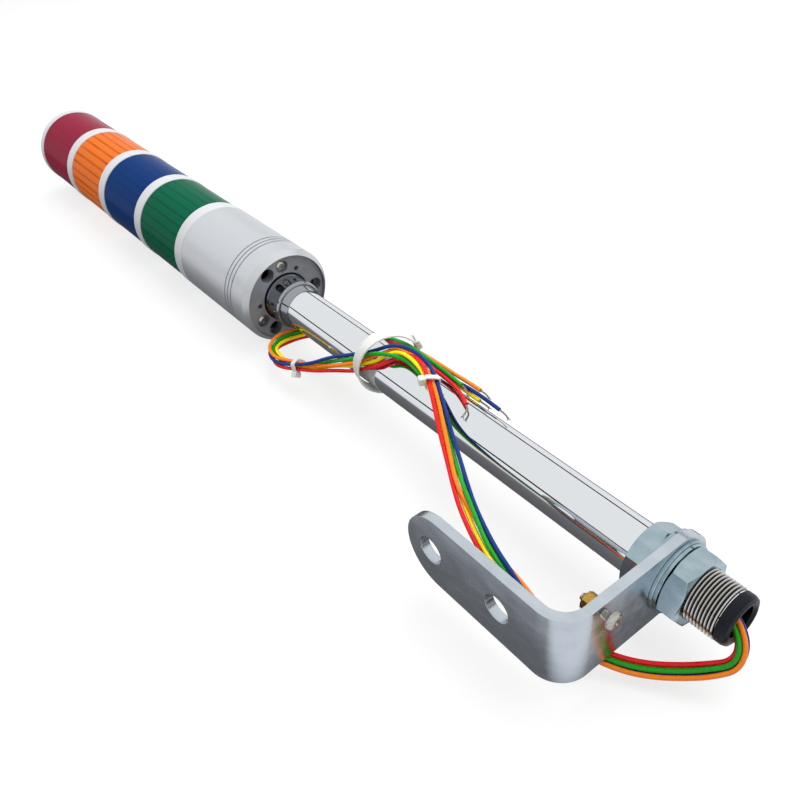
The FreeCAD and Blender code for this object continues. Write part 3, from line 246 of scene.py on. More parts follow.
# cut thread: bright steel on the crests, darker down in the groove as painted shade
def cutThread():
    material, tree, shader, place = startMaterial("cutThreadSteel", "b9b8b5", 0.16, {"Metallic": 1.0})
    # painted shade: the colour darkens from the crests down into the groove, by the distance from the pole's
    # axis
    flat = addNode(tree, "ShaderNodeMapping", {"Location": -poleAxis, "Scale": (1, 1, 0)}, {"Vector": place})
    reach = addNode(tree, "ShaderNodeVectorMath", {"operation": "LENGTH"}, {0: flat.outputs[0]})
    groove = 11.15 * mm      # distances from the pole's axis
    crest = 11.85 * mm
    paintedGrooveShade = addNode(tree, "ShaderNodeMapRange", {"From Min": groove, "From Max": crest},
                   {"Value": reach.outputs["Value"]})
    tint(tree, shader, paintedGrooveShade, "3a3734", "d3d1cd", 0.1, 0.9)
    grain(tree, shader, place, 0.9 * mm, spread=(0.12, 0.24))
    return material


# glass-fibre laminate with solder resist: glossy film with a woven ground
def laminate(name, dark, light):
    material, tree, shader, place = startMaterial(name, light, 0.35, {"IOR": 1.5})
    weave = grain(tree, shader, place, 0.7 * mm, height=0.01 * mm, spread=(0.3, 0.42))
    tint(tree, shader, weave, dark, light)
    return material


zincSheet = zincPlate("zincPlatedSheet", "bcc5cd", "c9d1d8", 0.22)
zincNut = zincPlate("zincPlatedNut", "93a9b1", "afc0c8", 0.15)
chrome = chromePlate("chromePlatedSteel", "dfe2e5", 0.04)
darkChrome = chromePlate("chromePlatedCollar", "9a9ea4", 0.08)
threadSteel = cutThread()
housingMetal = anodisedAluminium()
plateMetal = turnedAluminium()
ringPlastic = silverAbs()
nylon = naturalNylon()
bushRubber = epdmRubber("epdmBush", "080b16")
gasketRubber = epdmRubber("epdmGasket", "0b0b0c")
brass = machinedMetal("freeCuttingBrass", "a87c34", "d3ab58", 0.25, 0.004 * mm)
nickelSteel = machinedMetal("nickelPlatedSteel", "a9a7a1", "c6c4bf", 0.2, 0.001 * mm)
tinnedCopper = machinedMetal("tinnedCopper", "8d857c", "bab2a9", 0.28, 0.006 * mm)
greenLaminate = laminate("greenLaminate", "0e4f2c", "1a6b3e")
whiteLaminate = laminate("whiteLaminate", "dcdcd6", "efefea")
lampBody = laminate("lampBody", "e8dfa0", "f4edbc")
sheaths = {"red": pvcSheath("red", "e2141e", "c80e18"),
           "green": pvcSheath("green", "129c1e", "0c8518"),
           "yellow": pvcSheath("yellow", "fae40a", "ecd205"),
           "blue": pvcSheath("blue", "06307c", "042564"),
           "orange": pvcSheath("orange", "f6821c", "ea7212")}
lenses = {"green": polycarbonate("green", "02593f", "023828", 0.35),
          "blue": polycarbonate("blue", "033069", "032450", 0.25),
          "orange": polycarbonate("orange", "dc6c24", "a2480f", 0.7),
          "red": polycarbonate("red", "861c36", "6c142a", 0.15)}
innerSheath = pvcSheath("mixed", "7c2a20", "5c2018")

finishes = {"bracket": zincSheet, "pole": chrome, "collar": darkChrome, "base_housing": housingMetal,
            "bottom_plate": plateMetal, "top_cap": ringPlastic, "cable_bush": bushRubber,
            "collar_gasket": gasketRubber, "collar_nut": brass, "earth_nut": brass,
            "control_board": greenLaminate, "inner_leads": innerSheath, "bare_ends": tinnedCopper}
for name in ("upper_washer", "upper_nut", "flat_washer", "spring_washer", "lower_nut"):
    finishes[name] = zincNut
for name in ("earth_screw", "plate_screws", "stack_rods"):
    finishes[name] = nickelSteel
for name in ("pole_tie", "bundle_tie_loop", "bundle_tie_rise"):
    finishes[name] = nylon
for colour in lenses:
    finishes["ring_" + colour] = ringPlastic
    finishes["lens_" + colour] = lenses[colour]
    finishes["lamp_board_" + colour] = whiteLaminate
    finishes["lamps_" + colour] = lampBody
for colour in sheaths:
    finishes["lead_" + colour] = sheaths[colour]
for name, item in nodes.items():
    item.data.materials.clear()
    item.data.materials.append(finishes[name])
print("finishes given to", len(nodes), "nodes")


finish = {"merge": 0.002 * mm, "smooth": math.radians(32)}


# one piece alone is selected and opened in edit mode, all of it selected
def openMesh(item):
    bpy.ops.object.select_all(action="DESELECT")
    item.select_set(True)
    bpy.context.view_layer.objects.active = item
    bpy.ops.object.mode_set(mode="EDIT")
    bpy.ops.mesh.select_all(action="SELECT")


# doubles merged, faces turned outwards, edges under the angle shaded smooth
def closeMesh():
    bpy.ops.mesh.select_all(action="SELECT")
    bpy.ops.mesh.remove_doubles(threshold=finish["merge"])
    bpy.ops.mesh.normals_make_consistent(inside=False)
    bpy.ops.object.mode_set(mode="OBJECT")
    bpy.ops.object.shade_smooth_by_angle(angle=finish["smooth"])


# only the faces that the test picks are selected, in edit mode
def pickFaces(item, test):
    bpy.ops.object.mode_set(mode="EDIT")
    bpy.ops.mesh.select_all(action="DESELECT")
    bpy.ops.object.mode_set(mode="OBJECT")
    for face in item.data.polygons:
        face.select = test(face)
    bpy.ops.object.mode_set(mode="EDIT")


def addModifier(item, kind, settings):
    modifier = item.modifiers.new(kind.title(), kind)
    for key, value in settings.items():
        setattr(modifier, key, value)
    bpy.context.view_layer.objects.active = item
    bpy.ops.object.modifier_apply(modifier=modifier.name)


def joinPieces(items, name):
    bpy.ops.object.select_all(action="DESELECT")
    for item in items:
        item.select_set(True)
    bpy.context.view_layer.objects.active = items[0]
    bpy.ops.object.join()
    items[0].name = name
    return items[0]


# a thread's ridge: a small square stood on edge and wound up the axis
def windRidge(values, axis, metal):
    bpy.ops.mesh.primitive_circle_add(vertices=4, radius=values["reach"],
                                      location=(axis.x, axis.y, values["lowest"]))
    ridge = bpy.context.object
    openMesh(ridge)
    bpy.ops.transform.rotate(value=math.pi / 2, orient_axis="X", center_override=ridge.location)
    bpy.ops.transform.resize(value=(1, 1, values["slope"]), center_override=ridge.location)
    bpy.ops.transform.translate(value=(values["ridge"], 0, 0))
    bpy.ops.object.mode_set(mode="OBJECT")
    addModifier(ridge, "SCREW", {"axis": "Z", "angle": 2 * math.pi, "screw_offset": values["pitch"],
                                 "iterations": values["turns"], "steps": values["steps"],
                                 "render_steps": values["steps"]})
    openMesh(ridge)
    bpy.ops.mesh.fill_holes(sides=4)
    closeMesh()
    bpy.ops.object.transform_apply(location=True, rotation=True, scale=True)
    ridge.data.materials.append(metal)
    return ridge


# the pole with its M24 x 1.5 thread: a drawn tube and a ridge wound on it. Below the neck all that lies
# outside skin is drawn in to share of its distance, which leaves the thread's core
pole = {"radius": 12 * mm, "wall": 2 * mm, "low": -0.081, "high": 0.248, "sides": 192, "edge": 0.4 * mm,
        "top": -0.0556, "neck": 0.5 * mm, "skin": 11.5 * mm, "share": 0.914,
        "lowest": -0.0802, "ridge": 11.05 * mm, "reach": 0.92 * mm, "slope": 0.83, "pitch": 1.5 * mm,
        "turns": 16, "steps": 72}


def buildPole():
    middle = (0, poleAxis.y, (pole["low"] + pole["high"]) / 2)
    bpy.ops.mesh.primitive_cylinder_add(vertices=pole["sides"], radius=pole["radius"],
                                        depth=pole["high"] - pole["low"], location=middle,
                                        end_fill_type="NOTHING")
    shaft = bpy.context.object
    bpy.ops.object.transform_apply(location=True, rotation=True, scale=True)
    addModifier(shaft, "SOLIDIFY", {"thickness": pole["wall"], "offset": -1})
    addModifier(shaft, "BEVEL", {"width": pole["edge"], "segments": 1, "limit_method": "ANGLE"})
    openMesh(shaft)
    for height in (pole["top"], pole["top"] - pole["neck"]):
        bpy.ops.mesh.select_all(action="SELECT")
        bpy.ops.mesh.bisect(plane_co=(0, 0, height), plane_no=(0, 0, 1))
    bpy.ops.mesh.select_all(action="DESELECT")
    bpy.ops.object.mode_set(mode="OBJECT")
    for vertex in shaft.data.vertices:
        reach = (vertex.co - poleAxis).to_2d().length
        vertex.select = reach > pole["skin"] and vertex.co.z < pole["top"] - pole["neck"] * 0.9
    bpy.ops.object.mode_set(mode="EDIT")
    bpy.ops.transform.resize(value=(pole["share"], pole["share"], 1), center_override=poleAxis)
    closeMesh()
    shaft.data.materials.append(chrome)
    ridge = windRidge(pole, poleAxis, threadSteel)
    whole = joinPieces([shaft, ridge], "pole_threaded")
    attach(whole, "root")
    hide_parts("pole")


buildPole()
print("thread wound")


# the earth screw: a head with a cross recess, domed on both sides because every edge gets the bevel,
# which also ribs its rim finely, and an M4 thread that runs right up to it
screw = {"head": 4 * mm, "sides": 64, "tall": 3 * mm, "dome": 1.7 * mm, "domeSteps": 8,
         "core": 1.5 * mm, "coreSides": 48, "tip": 0.3 * mm, "high": -0.0445,
         "slot": (4.4 * mm, 1.1 * mm, 2.6 * mm), "taper": 0.5, "turn": math.radians(20),
         "lowest": -0.0578, "ridge": 1.6 * mm, "reach": 0.38 * mm, "slope": 0.9, "pitch": 0.7 * mm,
         "turns": 18, "steps": 24}


def buildScrew():
    solid = nodes["earth_screw"]
    corners = [solid.matrix_world @ Vector(corner) for corner in solid.bound_box]
    axis = sum(corners, Vector()) / len(corners)
    low = min(corner.z for corner in corners)
    axis.z = 0
    bpy.ops.mesh.primitive_cylinder_add(vertices=screw["sides"], radius=screw["head"], depth=screw["tall"],
                                        location=axis + Vector((0, 0, low + screw["tall"] / 2)))
    head = bpy.context.object
    bpy.ops.object.transform_apply(location=True, rotation=True, scale=True)
    openMesh(head)
    bpy.ops.mesh.bevel(offset=screw["dome"], segments=screw["domeSteps"], affect="EDGES")
    bpy.ops.object.mode_set(mode="OBJECT")
    for turn in (screw["turn"], screw["turn"] + math.pi / 2):
        bpy.ops.mesh.primitive_cube_add(size=1, location=axis + Vector((0, 0, low)))
        cutter = bpy.context.object
        openMesh(cutter)
        bpy.ops.transform.resize(value=screw["slot"], center_override=cutter.location)
        bpy.ops.transform.rotate(value=turn, orient_axis="Z", center_override=cutter.location)
        pickFaces(cutter, lambda face: face.normal.z > 0.9)
        bpy.ops.transform.resize(value=(screw["taper"], screw["taper"], 1), center_override=cutter.location)
        bpy.ops.object.mode_set(mode="OBJECT")
        addModifier(head, "BOOLEAN", {"operation": "DIFFERENCE", "object": cutter})
        bpy.data.objects.remove(cutter)
    openMesh(head)
    closeMesh()
    start = low + screw["tall"] * 0.9      # the shank starts a little inside the head
    bpy.ops.mesh.primitive_cylinder_add(vertices=screw["coreSides"], radius=screw["core"],
                                        depth=screw["high"] - start,
                                        location=axis + Vector((0, 0, (screw["high"] + start) / 2)))
    core = bpy.context.object
    addModifier(core, "BEVEL", {"width": screw["tip"], "segments": 2, "limit_method": "ANGLE"})
    openMesh(core)
    closeMesh()
    whole = joinPieces([head, core, windRidge(screw, axis, nickelSteel)], "screw_threaded")
    whole.data.materials.clear()
    whole.data.materials.append(nickelSteel)
    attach(whole, "root")
    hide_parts("earth_screw")


buildScrew()
print("earth screw cut")


# the wide tie: a stiff round loop with raised rims, askew on the pole, its lock at the far side
tie = {"inside": 17 * mm, "thick": 1.25 * mm, "wide": 7.5 * mm, "sides": 120, "rim": 1.1 * mm,
       "sunk": 0.18 * mm, "edge": 0.22 * mm, "centre": (-0.00475, -0.0653, 0.1335),
       "tilt": math.radians(17.2), "lock": (3.2 * mm, 6 * mm, 8.1 * mm), "lockAt": math.radians(246),
       "lockOut": 1.7 * mm, "lockWall": 1.1 * mm, "lockEdge": 0.45 * mm, "slotLip": 0.2 * mm,
       "slotDeep": 1.8 * mm}


def buildTie():
    bpy.ops.mesh.primitive_cylinder_add(vertices=tie["sides"], radius=tie["inside"] + tie["thick"],
                                        depth=tie["wide"], end_fill_type="NOTHING")
    loop = bpy.context.object
    openMesh(loop)
    bpy.ops.mesh.inset(thickness=tie["rim"], depth=-tie["sunk"], use_boundary=True)
    bpy.ops.object.mode_set(mode="OBJECT")
    addModifier(loop, "SOLIDIFY", {"thickness": tie["thick"] - tie["sunk"], "offset": -1})
    addModifier(loop, "BEVEL", {"width": tie["edge"], "segments": 2, "limit_method": "ANGLE"})
    openMesh(loop)
    closeMesh()
    bpy.ops.mesh.primitive_cube_add(size=1, location=(tie["inside"] + tie["lockOut"], 0, 0))
    lock = bpy.context.object
    openMesh(lock)
    bpy.ops.transform.resize(value=tie["lock"], center_override=lock.location)
    pickFaces(lock, lambda face: abs(face.normal.y) > 0.9)
    bpy.ops.mesh.inset(thickness=tie["lockWall"], use_individual=True)
    bpy.ops.mesh.inset(thickness=tie["slotLip"], depth=-tie["slotDeep"], use_individual=True)
    bpy.ops.object.mode_set(mode="OBJECT")
    addModifier(lock, "BEVEL", {"width": tie["lockEdge"], "segments": 3, "limit_method": "ANGLE"})
    openMesh(lock)
    closeMesh()
    whole = joinPieces([loop, lock], "tie_wide")
    whole.data.materials.append(nylon)
    bpy.ops.object.mode_set(mode="EDIT")
    bpy.ops.mesh.select_all(action="SELECT")
    bpy.ops.transform.rotate(value=-tie["lockAt"], orient_axis="Z", center_override=(0, 0, 0))
    bpy.ops.transform.rotate(value=-tie["tilt"], orient_axis="X", center_override=(0, 0, 0))
    bpy.ops.transform.translate(value=tie["centre"])
    bpy.ops.object.mode_set(mode="OBJECT")
    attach(whole, "root")
    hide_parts("pole_tie")


buildTie()
print("wide tie closed")


# the five leads, a loose tied bundle from the bush over the loop to their stripped ends: each has a
# route of its own, and the lengths are the solids' to the nearest millimetre
leads = {"radius": 1.05 * mm, "order": 3, "steps": 8, "roundness": 4,
         "lengths": {"red": 0.566, "green": 0.552, "yellow": 0.562, "blue": 0.595, "orange": 0.578}}
leadRoutes = {
    "red": [
        (-0.0004, -0.0653, -0.0670), (-0.0004, -0.0653, -0.0770), (0.0049, -0.0614, -0.0880),
        (0.0112, -0.0563, -0.0898), (0.0148, -0.0508, -0.0834), (0.0194, -0.0466, -0.0764),
        (0.0223, -0.0401, -0.0677), (0.0230, -0.0337, -0.0584), (0.0216, -0.0274, -0.0462),
        (0.0176, -0.0228, -0.0340), (0.0115, -0.0192, -0.0222), (0.0066, -0.0169, -0.0099),
        (0.0050, -0.0171, 0.0074), (0.0018, -0.0249, 0.0286), (-0.0004, -0.0310, 0.0405),
        (-0.0032, -0.0385, 0.0534), (-0.0078, -0.0458, 0.0671), (-0.0143, -0.0535, 0.0805),
        (-0.0181, -0.0602, 0.0922), (-0.0189, -0.0663, 0.1037), (-0.0164, -0.0691, 0.1154),
        (-0.0143, -0.0662, 0.1215), (-0.0121, -0.0590, 0.1247), (-0.0097, -0.0545, 0.1282),
        (-0.0063, -0.0524, 0.1348), (0.0006, -0.0515, 0.1440), (0.0060, -0.0468, 0.1594),
        (0.0109, -0.0417, 0.1722), (0.0147, -0.0376, 0.1856), (0.0185, -0.0350, 0.1969),
        (0.0209, -0.0351, 0.2071), (0.0200, -0.0393, 0.2154), (0.0201, -0.0454, 0.2189),
        (0.0202, -0.0520, 0.2188), (0.0204, -0.0602, 0.2182), (0.0188, -0.0683, 0.2119),
        (0.0134, -0.0742, 0.1978), (0.0063, -0.0776, 0.1786), (-0.0012, -0.0787, 0.1571),
        (-0.0085, -0.0758, 0.1374), (-0.0114, -0.0743, 0.1220), (-0.0110, -0.0738, 0.1080),
        (-0.0112, -0.0732, 0.0950), (-0.0122, -0.0710, 0.0835), (-0.0134, -0.0676, 0.0750),
        (-0.0137, -0.0647, 0.0695),
    ],
    "green": [
        (-0.0026, -0.0646, -0.0670), (-0.0026, -0.0646, -0.0768), (0.0031, -0.0602, -0.0890),
        (0.0106, -0.0550, -0.0918), (0.0153, -0.0493, -0.0851), (0.0203, -0.0449, -0.0781),
        (0.0233, -0.0383, -0.0692), (0.0240, -0.0317, -0.0596), (0.0223, -0.0254, -0.0471),
        (0.0172, -0.0206, -0.0349), (0.0099, -0.0178, -0.0232), (0.0038, -0.0170, -0.0108),
        (0.0013, -0.0196, 0.0057), (-0.0015, -0.0287, 0.0259), (-0.0027, -0.0343, 0.0380),
        (-0.0036, -0.0414, 0.0513), (-0.0065, -0.0494, 0.0653), (-0.0115, -0.0565, 0.0796),
        (-0.0129, -0.0606, 0.0921), (-0.0141, -0.0641, 0.1042), (-0.0144, -0.0655, 0.1151),
        (-0.0154, -0.0633, 0.1211), (-0.0171, -0.0584, 0.1259), (-0.0166, -0.0556, 0.1304),
        (-0.0126, -0.0535, 0.1371), (-0.0065, -0.0513, 0.1463), (0.0014, -0.0481, 0.1615),
        (0.0090, -0.0451, 0.1743), (0.0140, -0.0422, 0.1870), (0.0177, -0.0396, 0.1981),
        (0.0186, -0.0377, 0.2073), (0.0176, -0.0393, 0.2158), (0.0164, -0.0453, 0.2198),
        (0.0164, -0.0523, 0.2205), (0.0163, -0.0604, 0.2188), (0.0146, -0.0688, 0.2133),
        (0.0102, -0.0742, 0.1998), (0.0037, -0.0787, 0.1797), (-0.0036, -0.0778, 0.1575),
        (-0.0108, -0.0769, 0.1375), (-0.0127, -0.0767, 0.1230), (-0.0120, -0.0763, 0.1090),
        (-0.0122, -0.0756, 0.0960), (-0.0127, -0.0739, 0.0830),
    ],
    "yellow": [
        (-0.0004, -0.0676, -0.0670), (-0.0004, -0.0676, -0.0769), (0.0055, -0.0635, -0.0888),
        (0.0129, -0.0578, -0.0909), (0.0171, -0.0517, -0.0844), (0.0217, -0.0470, -0.0772),
        (0.0248, -0.0401, -0.0682), (0.0255, -0.0333, -0.0585), (0.0238, -0.0267, -0.0460),
        (0.0193, -0.0211, -0.0338), (0.0119, -0.0167, -0.0225), (0.0048, -0.0148, -0.0106),
        (0.0027, -0.0181, 0.0060), (0.0029, -0.0271, 0.0269), (0.0008, -0.0330, 0.0394),
        (-0.0019, -0.0404, 0.0526), (-0.0060, -0.0474, 0.0668), (-0.0121, -0.0543, 0.0809),
        (-0.0155, -0.0604, 0.0928), (-0.0168, -0.0648, 0.1041), (-0.0171, -0.0665, 0.1156),
        (-0.0172, -0.0648, 0.1223), (-0.0154, -0.0610, 0.1263), (-0.0117, -0.0560, 0.1297),
        (-0.0085, -0.0528, 0.1360), (-0.0023, -0.0514, 0.1451), (0.0043, -0.0489, 0.1606),
        (0.0108, -0.0441, 0.1731), (0.0145, -0.0396, 0.1857), (0.0151, -0.0384, 0.1978),
        (0.0165, -0.0391, 0.2068), (0.0173, -0.0412, 0.2143), (0.0177, -0.0462, 0.2180),
        (0.0178, -0.0524, 0.2188), (0.0183, -0.0601, 0.2176), (0.0164, -0.0687, 0.2119),
        (0.0117, -0.0763, 0.1984), (0.0073, -0.0805, 0.1789), (0.0036, -0.0807, 0.1565),
        (-0.0040, -0.0807, 0.1364), (-0.0081, -0.0788, 0.1220), (-0.0076, -0.0781, 0.1070),
        (-0.0073, -0.0774, 0.0940), (-0.0078, -0.0763, 0.0820), (-0.0087, -0.0754, 0.0715),
    ],
    "blue": [
        (-0.0026, -0.0683, -0.0670), (-0.0026, -0.0683, -0.0771), (0.0038, -0.0637, -0.0906),
        (0.0128, -0.0572, -0.0932), (0.0179, -0.0504, -0.0863), (0.0228, -0.0457, -0.0788),
        (0.0259, -0.0387, -0.0696), (0.0265, -0.0316, -0.0597), (0.0246, -0.0248, -0.0470),
        (0.0183, -0.0184, -0.0355), (0.0088, -0.0160, -0.0247), (0.0015, -0.0176, -0.0120),
        (0.0010, -0.0221, 0.0046), (0.0003, -0.0306, 0.0255), (-0.0018, -0.0366, 0.0375),
        (-0.0052, -0.0434, 0.0505), (-0.0085, -0.0505, 0.0645), (-0.0137, -0.0579, 0.0788),
        (-0.0170, -0.0646, 0.0912), (-0.0186, -0.0691, 0.1030), (-0.0187, -0.0702, 0.1158),
        (-0.0190, -0.0675, 0.1233), (-0.0191, -0.0631, 0.1275), (-0.0165, -0.0590, 0.1318),
        (-0.0126, -0.0558, 0.1384), (-0.0080, -0.0529, 0.1477), (-0.0011, -0.0472, 0.1625),
        (0.0067, -0.0416, 0.1742), (0.0119, -0.0372, 0.1866), (0.0164, -0.0355, 0.1978),
        (0.0186, -0.0346, 0.2078), (0.0188, -0.0377, 0.2170), (0.0186, -0.0448, 0.2208),
        (0.0186, -0.0522, 0.2214), (0.0188, -0.0609, 0.2198), (0.0177, -0.0701, 0.2136),
        (0.0143, -0.0768, 0.1988), (0.0096, -0.0776, 0.1785), (0.0033, -0.0786, 0.1566),
        (-0.0050, -0.0780, 0.1368), (-0.0091, -0.0758, 0.1220), (-0.0090, -0.0760, 0.1070),
        (-0.0093, -0.0764, 0.0940), (-0.0101, -0.0770, 0.0820), (-0.0104, -0.0771, 0.0700),
        (-0.0105, -0.0763, 0.0585),
    ],
    "orange": [
        (-0.0040, -0.0665, -0.0670), (-0.0040, -0.0665, -0.0772), (0.0025, -0.0618, -0.0907),
        (0.0116, -0.0555, -0.0941), (0.0170, -0.0485, -0.0873), (0.0218, -0.0438, -0.0799),
        (0.0248, -0.0369, -0.0708), (0.0253, -0.0300, -0.0609), (0.0231, -0.0235, -0.0483),
        (0.0161, -0.0191, -0.0365), (0.0080, -0.0185, -0.0248), (0.0034, -0.0194, -0.0115),
        (0.0035, -0.0214, 0.0055), (0.0011, -0.0289, 0.0268), (-0.0020, -0.0323, 0.0398),
        (-0.0048, -0.0399, 0.0526), (-0.0084, -0.0480, 0.0659), (-0.0144, -0.0557, 0.0795),
        (-0.0172, -0.0621, 0.0915), (-0.0165, -0.0675, 0.1033), (-0.0144, -0.0705, 0.1156),
        (-0.0146, -0.0692, 0.1224), (-0.0165, -0.0660, 0.1261), (-0.0150, -0.0595, 0.1295),
        (-0.0104, -0.0538, 0.1360), (-0.0046, -0.0503, 0.1452), (0.0029, -0.0462, 0.1604),
        (0.0088, -0.0430, 0.1732), (0.0115, -0.0399, 0.1869), (0.0139, -0.0364, 0.1983),
        (0.0164, -0.0358, 0.2077), (0.0161, -0.0379, 0.2169), (0.0147, -0.0448, 0.2213),
        (0.0145, -0.0525, 0.2222), (0.0157, -0.0613, 0.2208), (0.0139, -0.0707, 0.2147),
        (0.0097, -0.0783, 0.2007), (0.0056, -0.0807, 0.1802), (0.0013, -0.0791, 0.1573),
        (-0.0078, -0.0791, 0.1369), (-0.0109, -0.0782, 0.1220), (-0.0103, -0.0793, 0.1070),
        (-0.0106, -0.0792, 0.0930), (-0.0115, -0.0790, 0.0825), (-0.0117, -0.0788, 0.0745),
    ],
}
# where the tinned wires go on from there
bareRoutes = {
    "red": [(-0.0138, -0.0632, 0.0667), (-0.0133, -0.0608, 0.0654), (-0.0120, -0.0579, 0.0649)],
    "green": [(-0.0128, -0.0735, 0.0796), (-0.0136, -0.0714, 0.0762), (-0.0141, -0.0689, 0.0732)],
    "yellow": [(-0.0090, -0.0751, 0.0685), (-0.0098, -0.0744, 0.0652), (-0.0108, -0.0732, 0.0620)],
    "blue": [(-0.0105, -0.0761, 0.0555), (-0.0111, -0.0750, 0.0520), (-0.0121, -0.0732, 0.0490)],
    "orange": [(-0.0118, -0.0787, 0.0715), (-0.0122, -0.0779, 0.0683), (-0.0129, -0.0764, 0.0656)],
}


def addCurve(name, points, radius):
    data = bpy.data.curves.new(name, "CURVE")
    data.dimensions = "3D"
    spline = data.splines.new("NURBS")
    spline.points.add(len(points) - 1)
    for point, place in zip(spline.points, points):
        point.co = (*place, 1.0)
    spline.order_u = leads["order"]
    spline.use_endpoint_u = True
    spline.resolution_u = leads["steps"]
    data.bevel_depth = radius
    data.bevel_resolution = leads["roundness"]
    data.use_fill_caps = True
    item = bpy.data.objects.new(name, data)
    bpy.context.collection.objects.link(item)
    return item


# three fine tinned wires wound round each other along the bare end, splayed at the tip: off is how far
# each lies from the middle, turn how many degrees it winds on from one point of the spline to the next
strands = {"count": 3, "radius": 0.25 * mm, "off": 0.28 * mm, "turn": 26, "splay": 1.0 * mm}


def addStrands(name, route):
    guide = addCurve("guide", route, 0)
    line = bpy.data.meshes.new_from_object(guide)
    path = [vertex.co.copy() for vertex in line.vertices]
    bpy.data.objects.remove(guide)
    bpy.data.meshes.remove(line)
    wires = []
    for share in range(strands["count"]):
        points = []
        for index, (near, far) in enumerate(zip(path, path[1:])):
            along = (far - near).normalized()
            side = along.cross(Vector((1, 0, 0))).normalized()
            angle = math.radians(360 * share / strands["count"] + strands["turn"] * index)
            out = side * math.cos(angle) + along.cross(side) * math.sin(angle)
            points.append(near + out * strands["off"])
        points.append(path[-1] + out * strands["splay"])
        wires.append(addCurve(name + str(share), points, strands["radius"]))
    bpy.ops.object.select_all(action="DESELECT")
    for wire in wires:
        wire.select_set(True)
    bpy.context.view_layer.objects.active = wires[0]
    bpy.ops.object.convert(target="MESH")
    bpy.ops.object.join()
    strand = bpy.context.object
    strand.name = name
    strand.data.materials.clear()
    strand.data.materials.append(tinnedCopper)
    return strand


def layLeads():
    for colour, route in leadRoutes.items():
        wire = addCurve("wire_" + colour, route, leads["radius"])
        wire.data.materials.append(sheaths[colour])
        strand = addStrands("strand_" + colour, [Vector(point) for point in [route[-1]] + bareRoutes[colour]])
        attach(wire, "root")
        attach(strand, "root")
        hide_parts("lead_" + colour)
        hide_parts("bare_ends")
        pieces = [strand]
        if colour == "red":
            pieces += [nodes["bundle_tie_loop"], nodes["bundle_tie_rise"]]
    print("leads laid")


layLeads()


# soft studio: white all round, a table that is open from behind and carries painted shade, grey close to
# the pole where metal mirrors it, and two dark strips that only metal shows
studio = {"floor": 0.0318, "floorSize": 3.0, "floorMiddle": 0.24, "ambient": 0.62,
          "lift": 0.72, "bounce": 0.7, "foot": -0.285, "footFade": 3.0,
          "shades": ((0.0, 0.11), (0.03, 0.14), (0.085, 0.19), (0.13, 0.95)), "cool": 1.04,
          "strips": (((-0.245, 0.969), 0.10), ((-0.435, -0.901), 0.11)), "stripAway": 0.9,
          "stripMiddle": 0.8, "stripTall": 1.8,
          "lamps": (("keyLight", (-0.9, -0.5, 0.1), 1.2, 14.0), ("fillLight", (-0.5, 0.6, 0.9), 1.0, 4.0)),
          "lampAim": 0.25}


def buildWorld():
    world = bpy.data.worlds.new("softStudio")
    bpy.context.scene.world = world
    world.use_nodes = True
    tree = world.node_tree
    tree.nodes.clear()
    rays = addNode(tree, "ShaderNodeLightPath")
    seen = addNode(tree, "ShaderNodeMath", {"operation": "ADD"},
                   {0: rays.outputs["Is Camera Ray"], 1: rays.outputs["Is Glossy Ray"]})
    through = addNode(tree, "ShaderNodeMath", {"operation": "ADD", "use_clamp": True},
                      {0: seen.outputs[0], 1: rays.outputs["Is Transmission Ray"]})
    dim = addNode(tree, "ShaderNodeBackground", {"Color": (1, 1, 1, 1), "Strength": studio["ambient"]})
    white = addNode(tree, "ShaderNodeBackground", {"Color": (1, 1, 1, 1), "Strength": 1.0})
    mix = addNode(tree, "ShaderNodeMixShader",
                  links={0: through.outputs[0], 1: dim.outputs[0], 2: white.outputs[0]})
    addNode(tree, "ShaderNodeOutputWorld", links={"Surface": mix.outputs[0]})
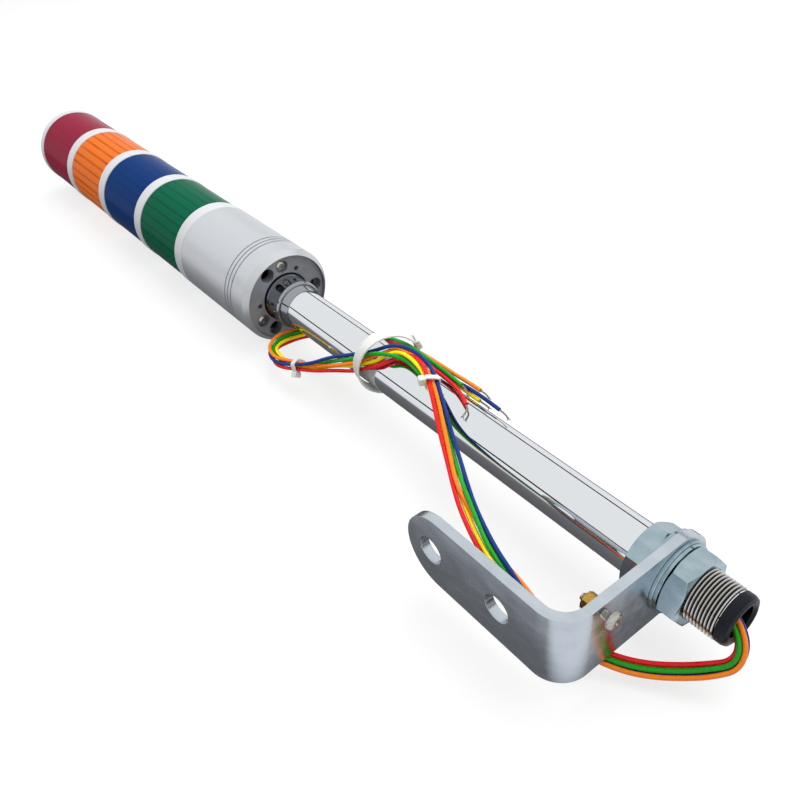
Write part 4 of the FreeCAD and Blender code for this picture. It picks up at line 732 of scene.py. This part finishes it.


# the camera sees the table nearly white with the object's shadow on it; metal sees painted shade, a grey
# that rises with the distance from the pole's line and, three times as fast, with the distance past its foot
def buildTable():
    bpy.ops.mesh.primitive_plane_add(size=studio["floorSize"], rotation=(0, -math.pi / 2, 0),
                                     location=(studio["floor"], poleAxis.y, studio["floorMiddle"]))
    floor = bpy.context.object
    floor.name = "tableTop"
    paper, tree, shader, place = startMaterial("whitePaper", "f7f7f7", 0.9, {"Specular IOR Level": 0.1})
    rays = addNode(tree, "ShaderNodeLightPath")
    glow = addNode(tree, "ShaderNodeEmission", {"Color": (1, 1, 1, 1), "Strength": 1.0})
    share = addNode(tree, "ShaderNodeMath", {"operation": "MULTIPLY", 1: studio["lift"]},
                    {0: rays.outputs["Is Camera Ray"]})
    seen = addNode(tree, "ShaderNodeMixShader",
                   links={0: share.outputs[0], 1: shader.outputs[0], 2: glow.outputs[0]})
    # painted shade on the table near the object, seen only in metal's reflections: darkest by the pole and
    # its foot
    axes = addNode(tree, "ShaderNodeSeparateXYZ", links={0: place})
    aside = addNode(tree, "ShaderNodeMath", {"operation": "ABSOLUTE"}, {0: axes.outputs["Y"]})
    below = addNode(tree, "ShaderNodeMath", {"operation": "SUBTRACT", 0: studio["foot"]},
                    {1: axes.outputs["X"]})
    past = addNode(tree, "ShaderNodeMath", {"operation": "MAXIMUM", 1: 0.0}, {0: below.outputs[0]})
    away = addNode(tree, "ShaderNodeMath", {"operation": "MULTIPLY_ADD", 1: studio["footFade"]},
                   {0: past.outputs[0], 2: aside.outputs[0]})
    shade = addNode(tree, "ShaderNodeValToRGB", links={"Fac": away.outputs[0]})
    for position, level in studio["shades"]:
        stop = shade.color_ramp.elements.new(position)
        stop.color = (level, level, level * studio["cool"], 1)
    for end in (0, -1):      # the two stops that a new ramp brings along
        shade.color_ramp.elements.remove(shade.color_ramp.elements[end])
    paintedShadeForMetal = addNode(tree, "ShaderNodeEmission", {"Strength": 1.0}, {"Color": shade.outputs["Color"]})
    bounce = addNode(tree, "ShaderNodeEmission", {"Color": (1, 1, 1, 1), "Strength": studio["bounce"]})
    lit = addNode(tree, "ShaderNodeMixShader",
                  links={0: rays.outputs["Is Diffuse Ray"], 1: seen.outputs[0], 2: bounce.outputs[0]})
    mix = addNode(tree, "ShaderNodeMixShader",
                  links={0: rays.outputs["Is Glossy Ray"], 1: lit.outputs[0], 2: paintedShadeForMetal.outputs[0]})
    side = addNode(tree, "ShaderNodeNewGeometry")
    clear = addNode(tree, "ShaderNodeBsdfTransparent")
    oneSided = addNode(tree, "ShaderNodeMixShader",
                       links={0: side.outputs["Backfacing"], 1: mix.outputs[0], 2: clear.outputs[0]})
    tree.links.new(oneSided.outputs[0], tree.nodes["Material Output"].inputs["Surface"])
    floor.data.materials.append(paper)


def buildStrips():
    felt = startMaterial("blackFelt", "17181a", 0.95, {"Specular IOR Level": 0.0})[0]
    for index, (toward, width) in enumerate(studio["strips"]):
        spot = (toward[0] * studio["stripAway"], poleAxis.y + toward[1] * studio["stripAway"],
                studio["stripMiddle"])
        turn = math.atan2(toward[1], toward[0]) + math.pi / 2
        bpy.ops.mesh.primitive_plane_add(size=1, location=spot, rotation=(math.pi / 2, 0, turn))
        strip = bpy.context.object
        strip.name = "darkStrip" + str(index)
        strip.scale = (width, studio["stripTall"], 1)
        strip.data.materials.append(felt)
        strip.visible_camera = False
        strip.visible_diffuse = False
        strip.visible_shadow = False
        strip.visible_transmission = False


def buildLamps():
    for name, place, size, power in studio["lamps"]:
        bpy.ops.object.light_add(type="AREA", location=place)
        lamp = bpy.context.object
        lamp.name = name
        lamp.data.size = size
        lamp.data.energy = power
        aim = Vector((0, poleAxis.y, studio["lampAim"])) - Vector(place)
        lamp.rotation_euler = aim.to_track_quat("-Z", "Y").to_euler()
        lamp.visible_glossy = False
    bpy.context.scene.view_settings.view_transform = "Standard"


buildWorld()
buildTable()
buildStrips()
buildLamps()
print("studio built")
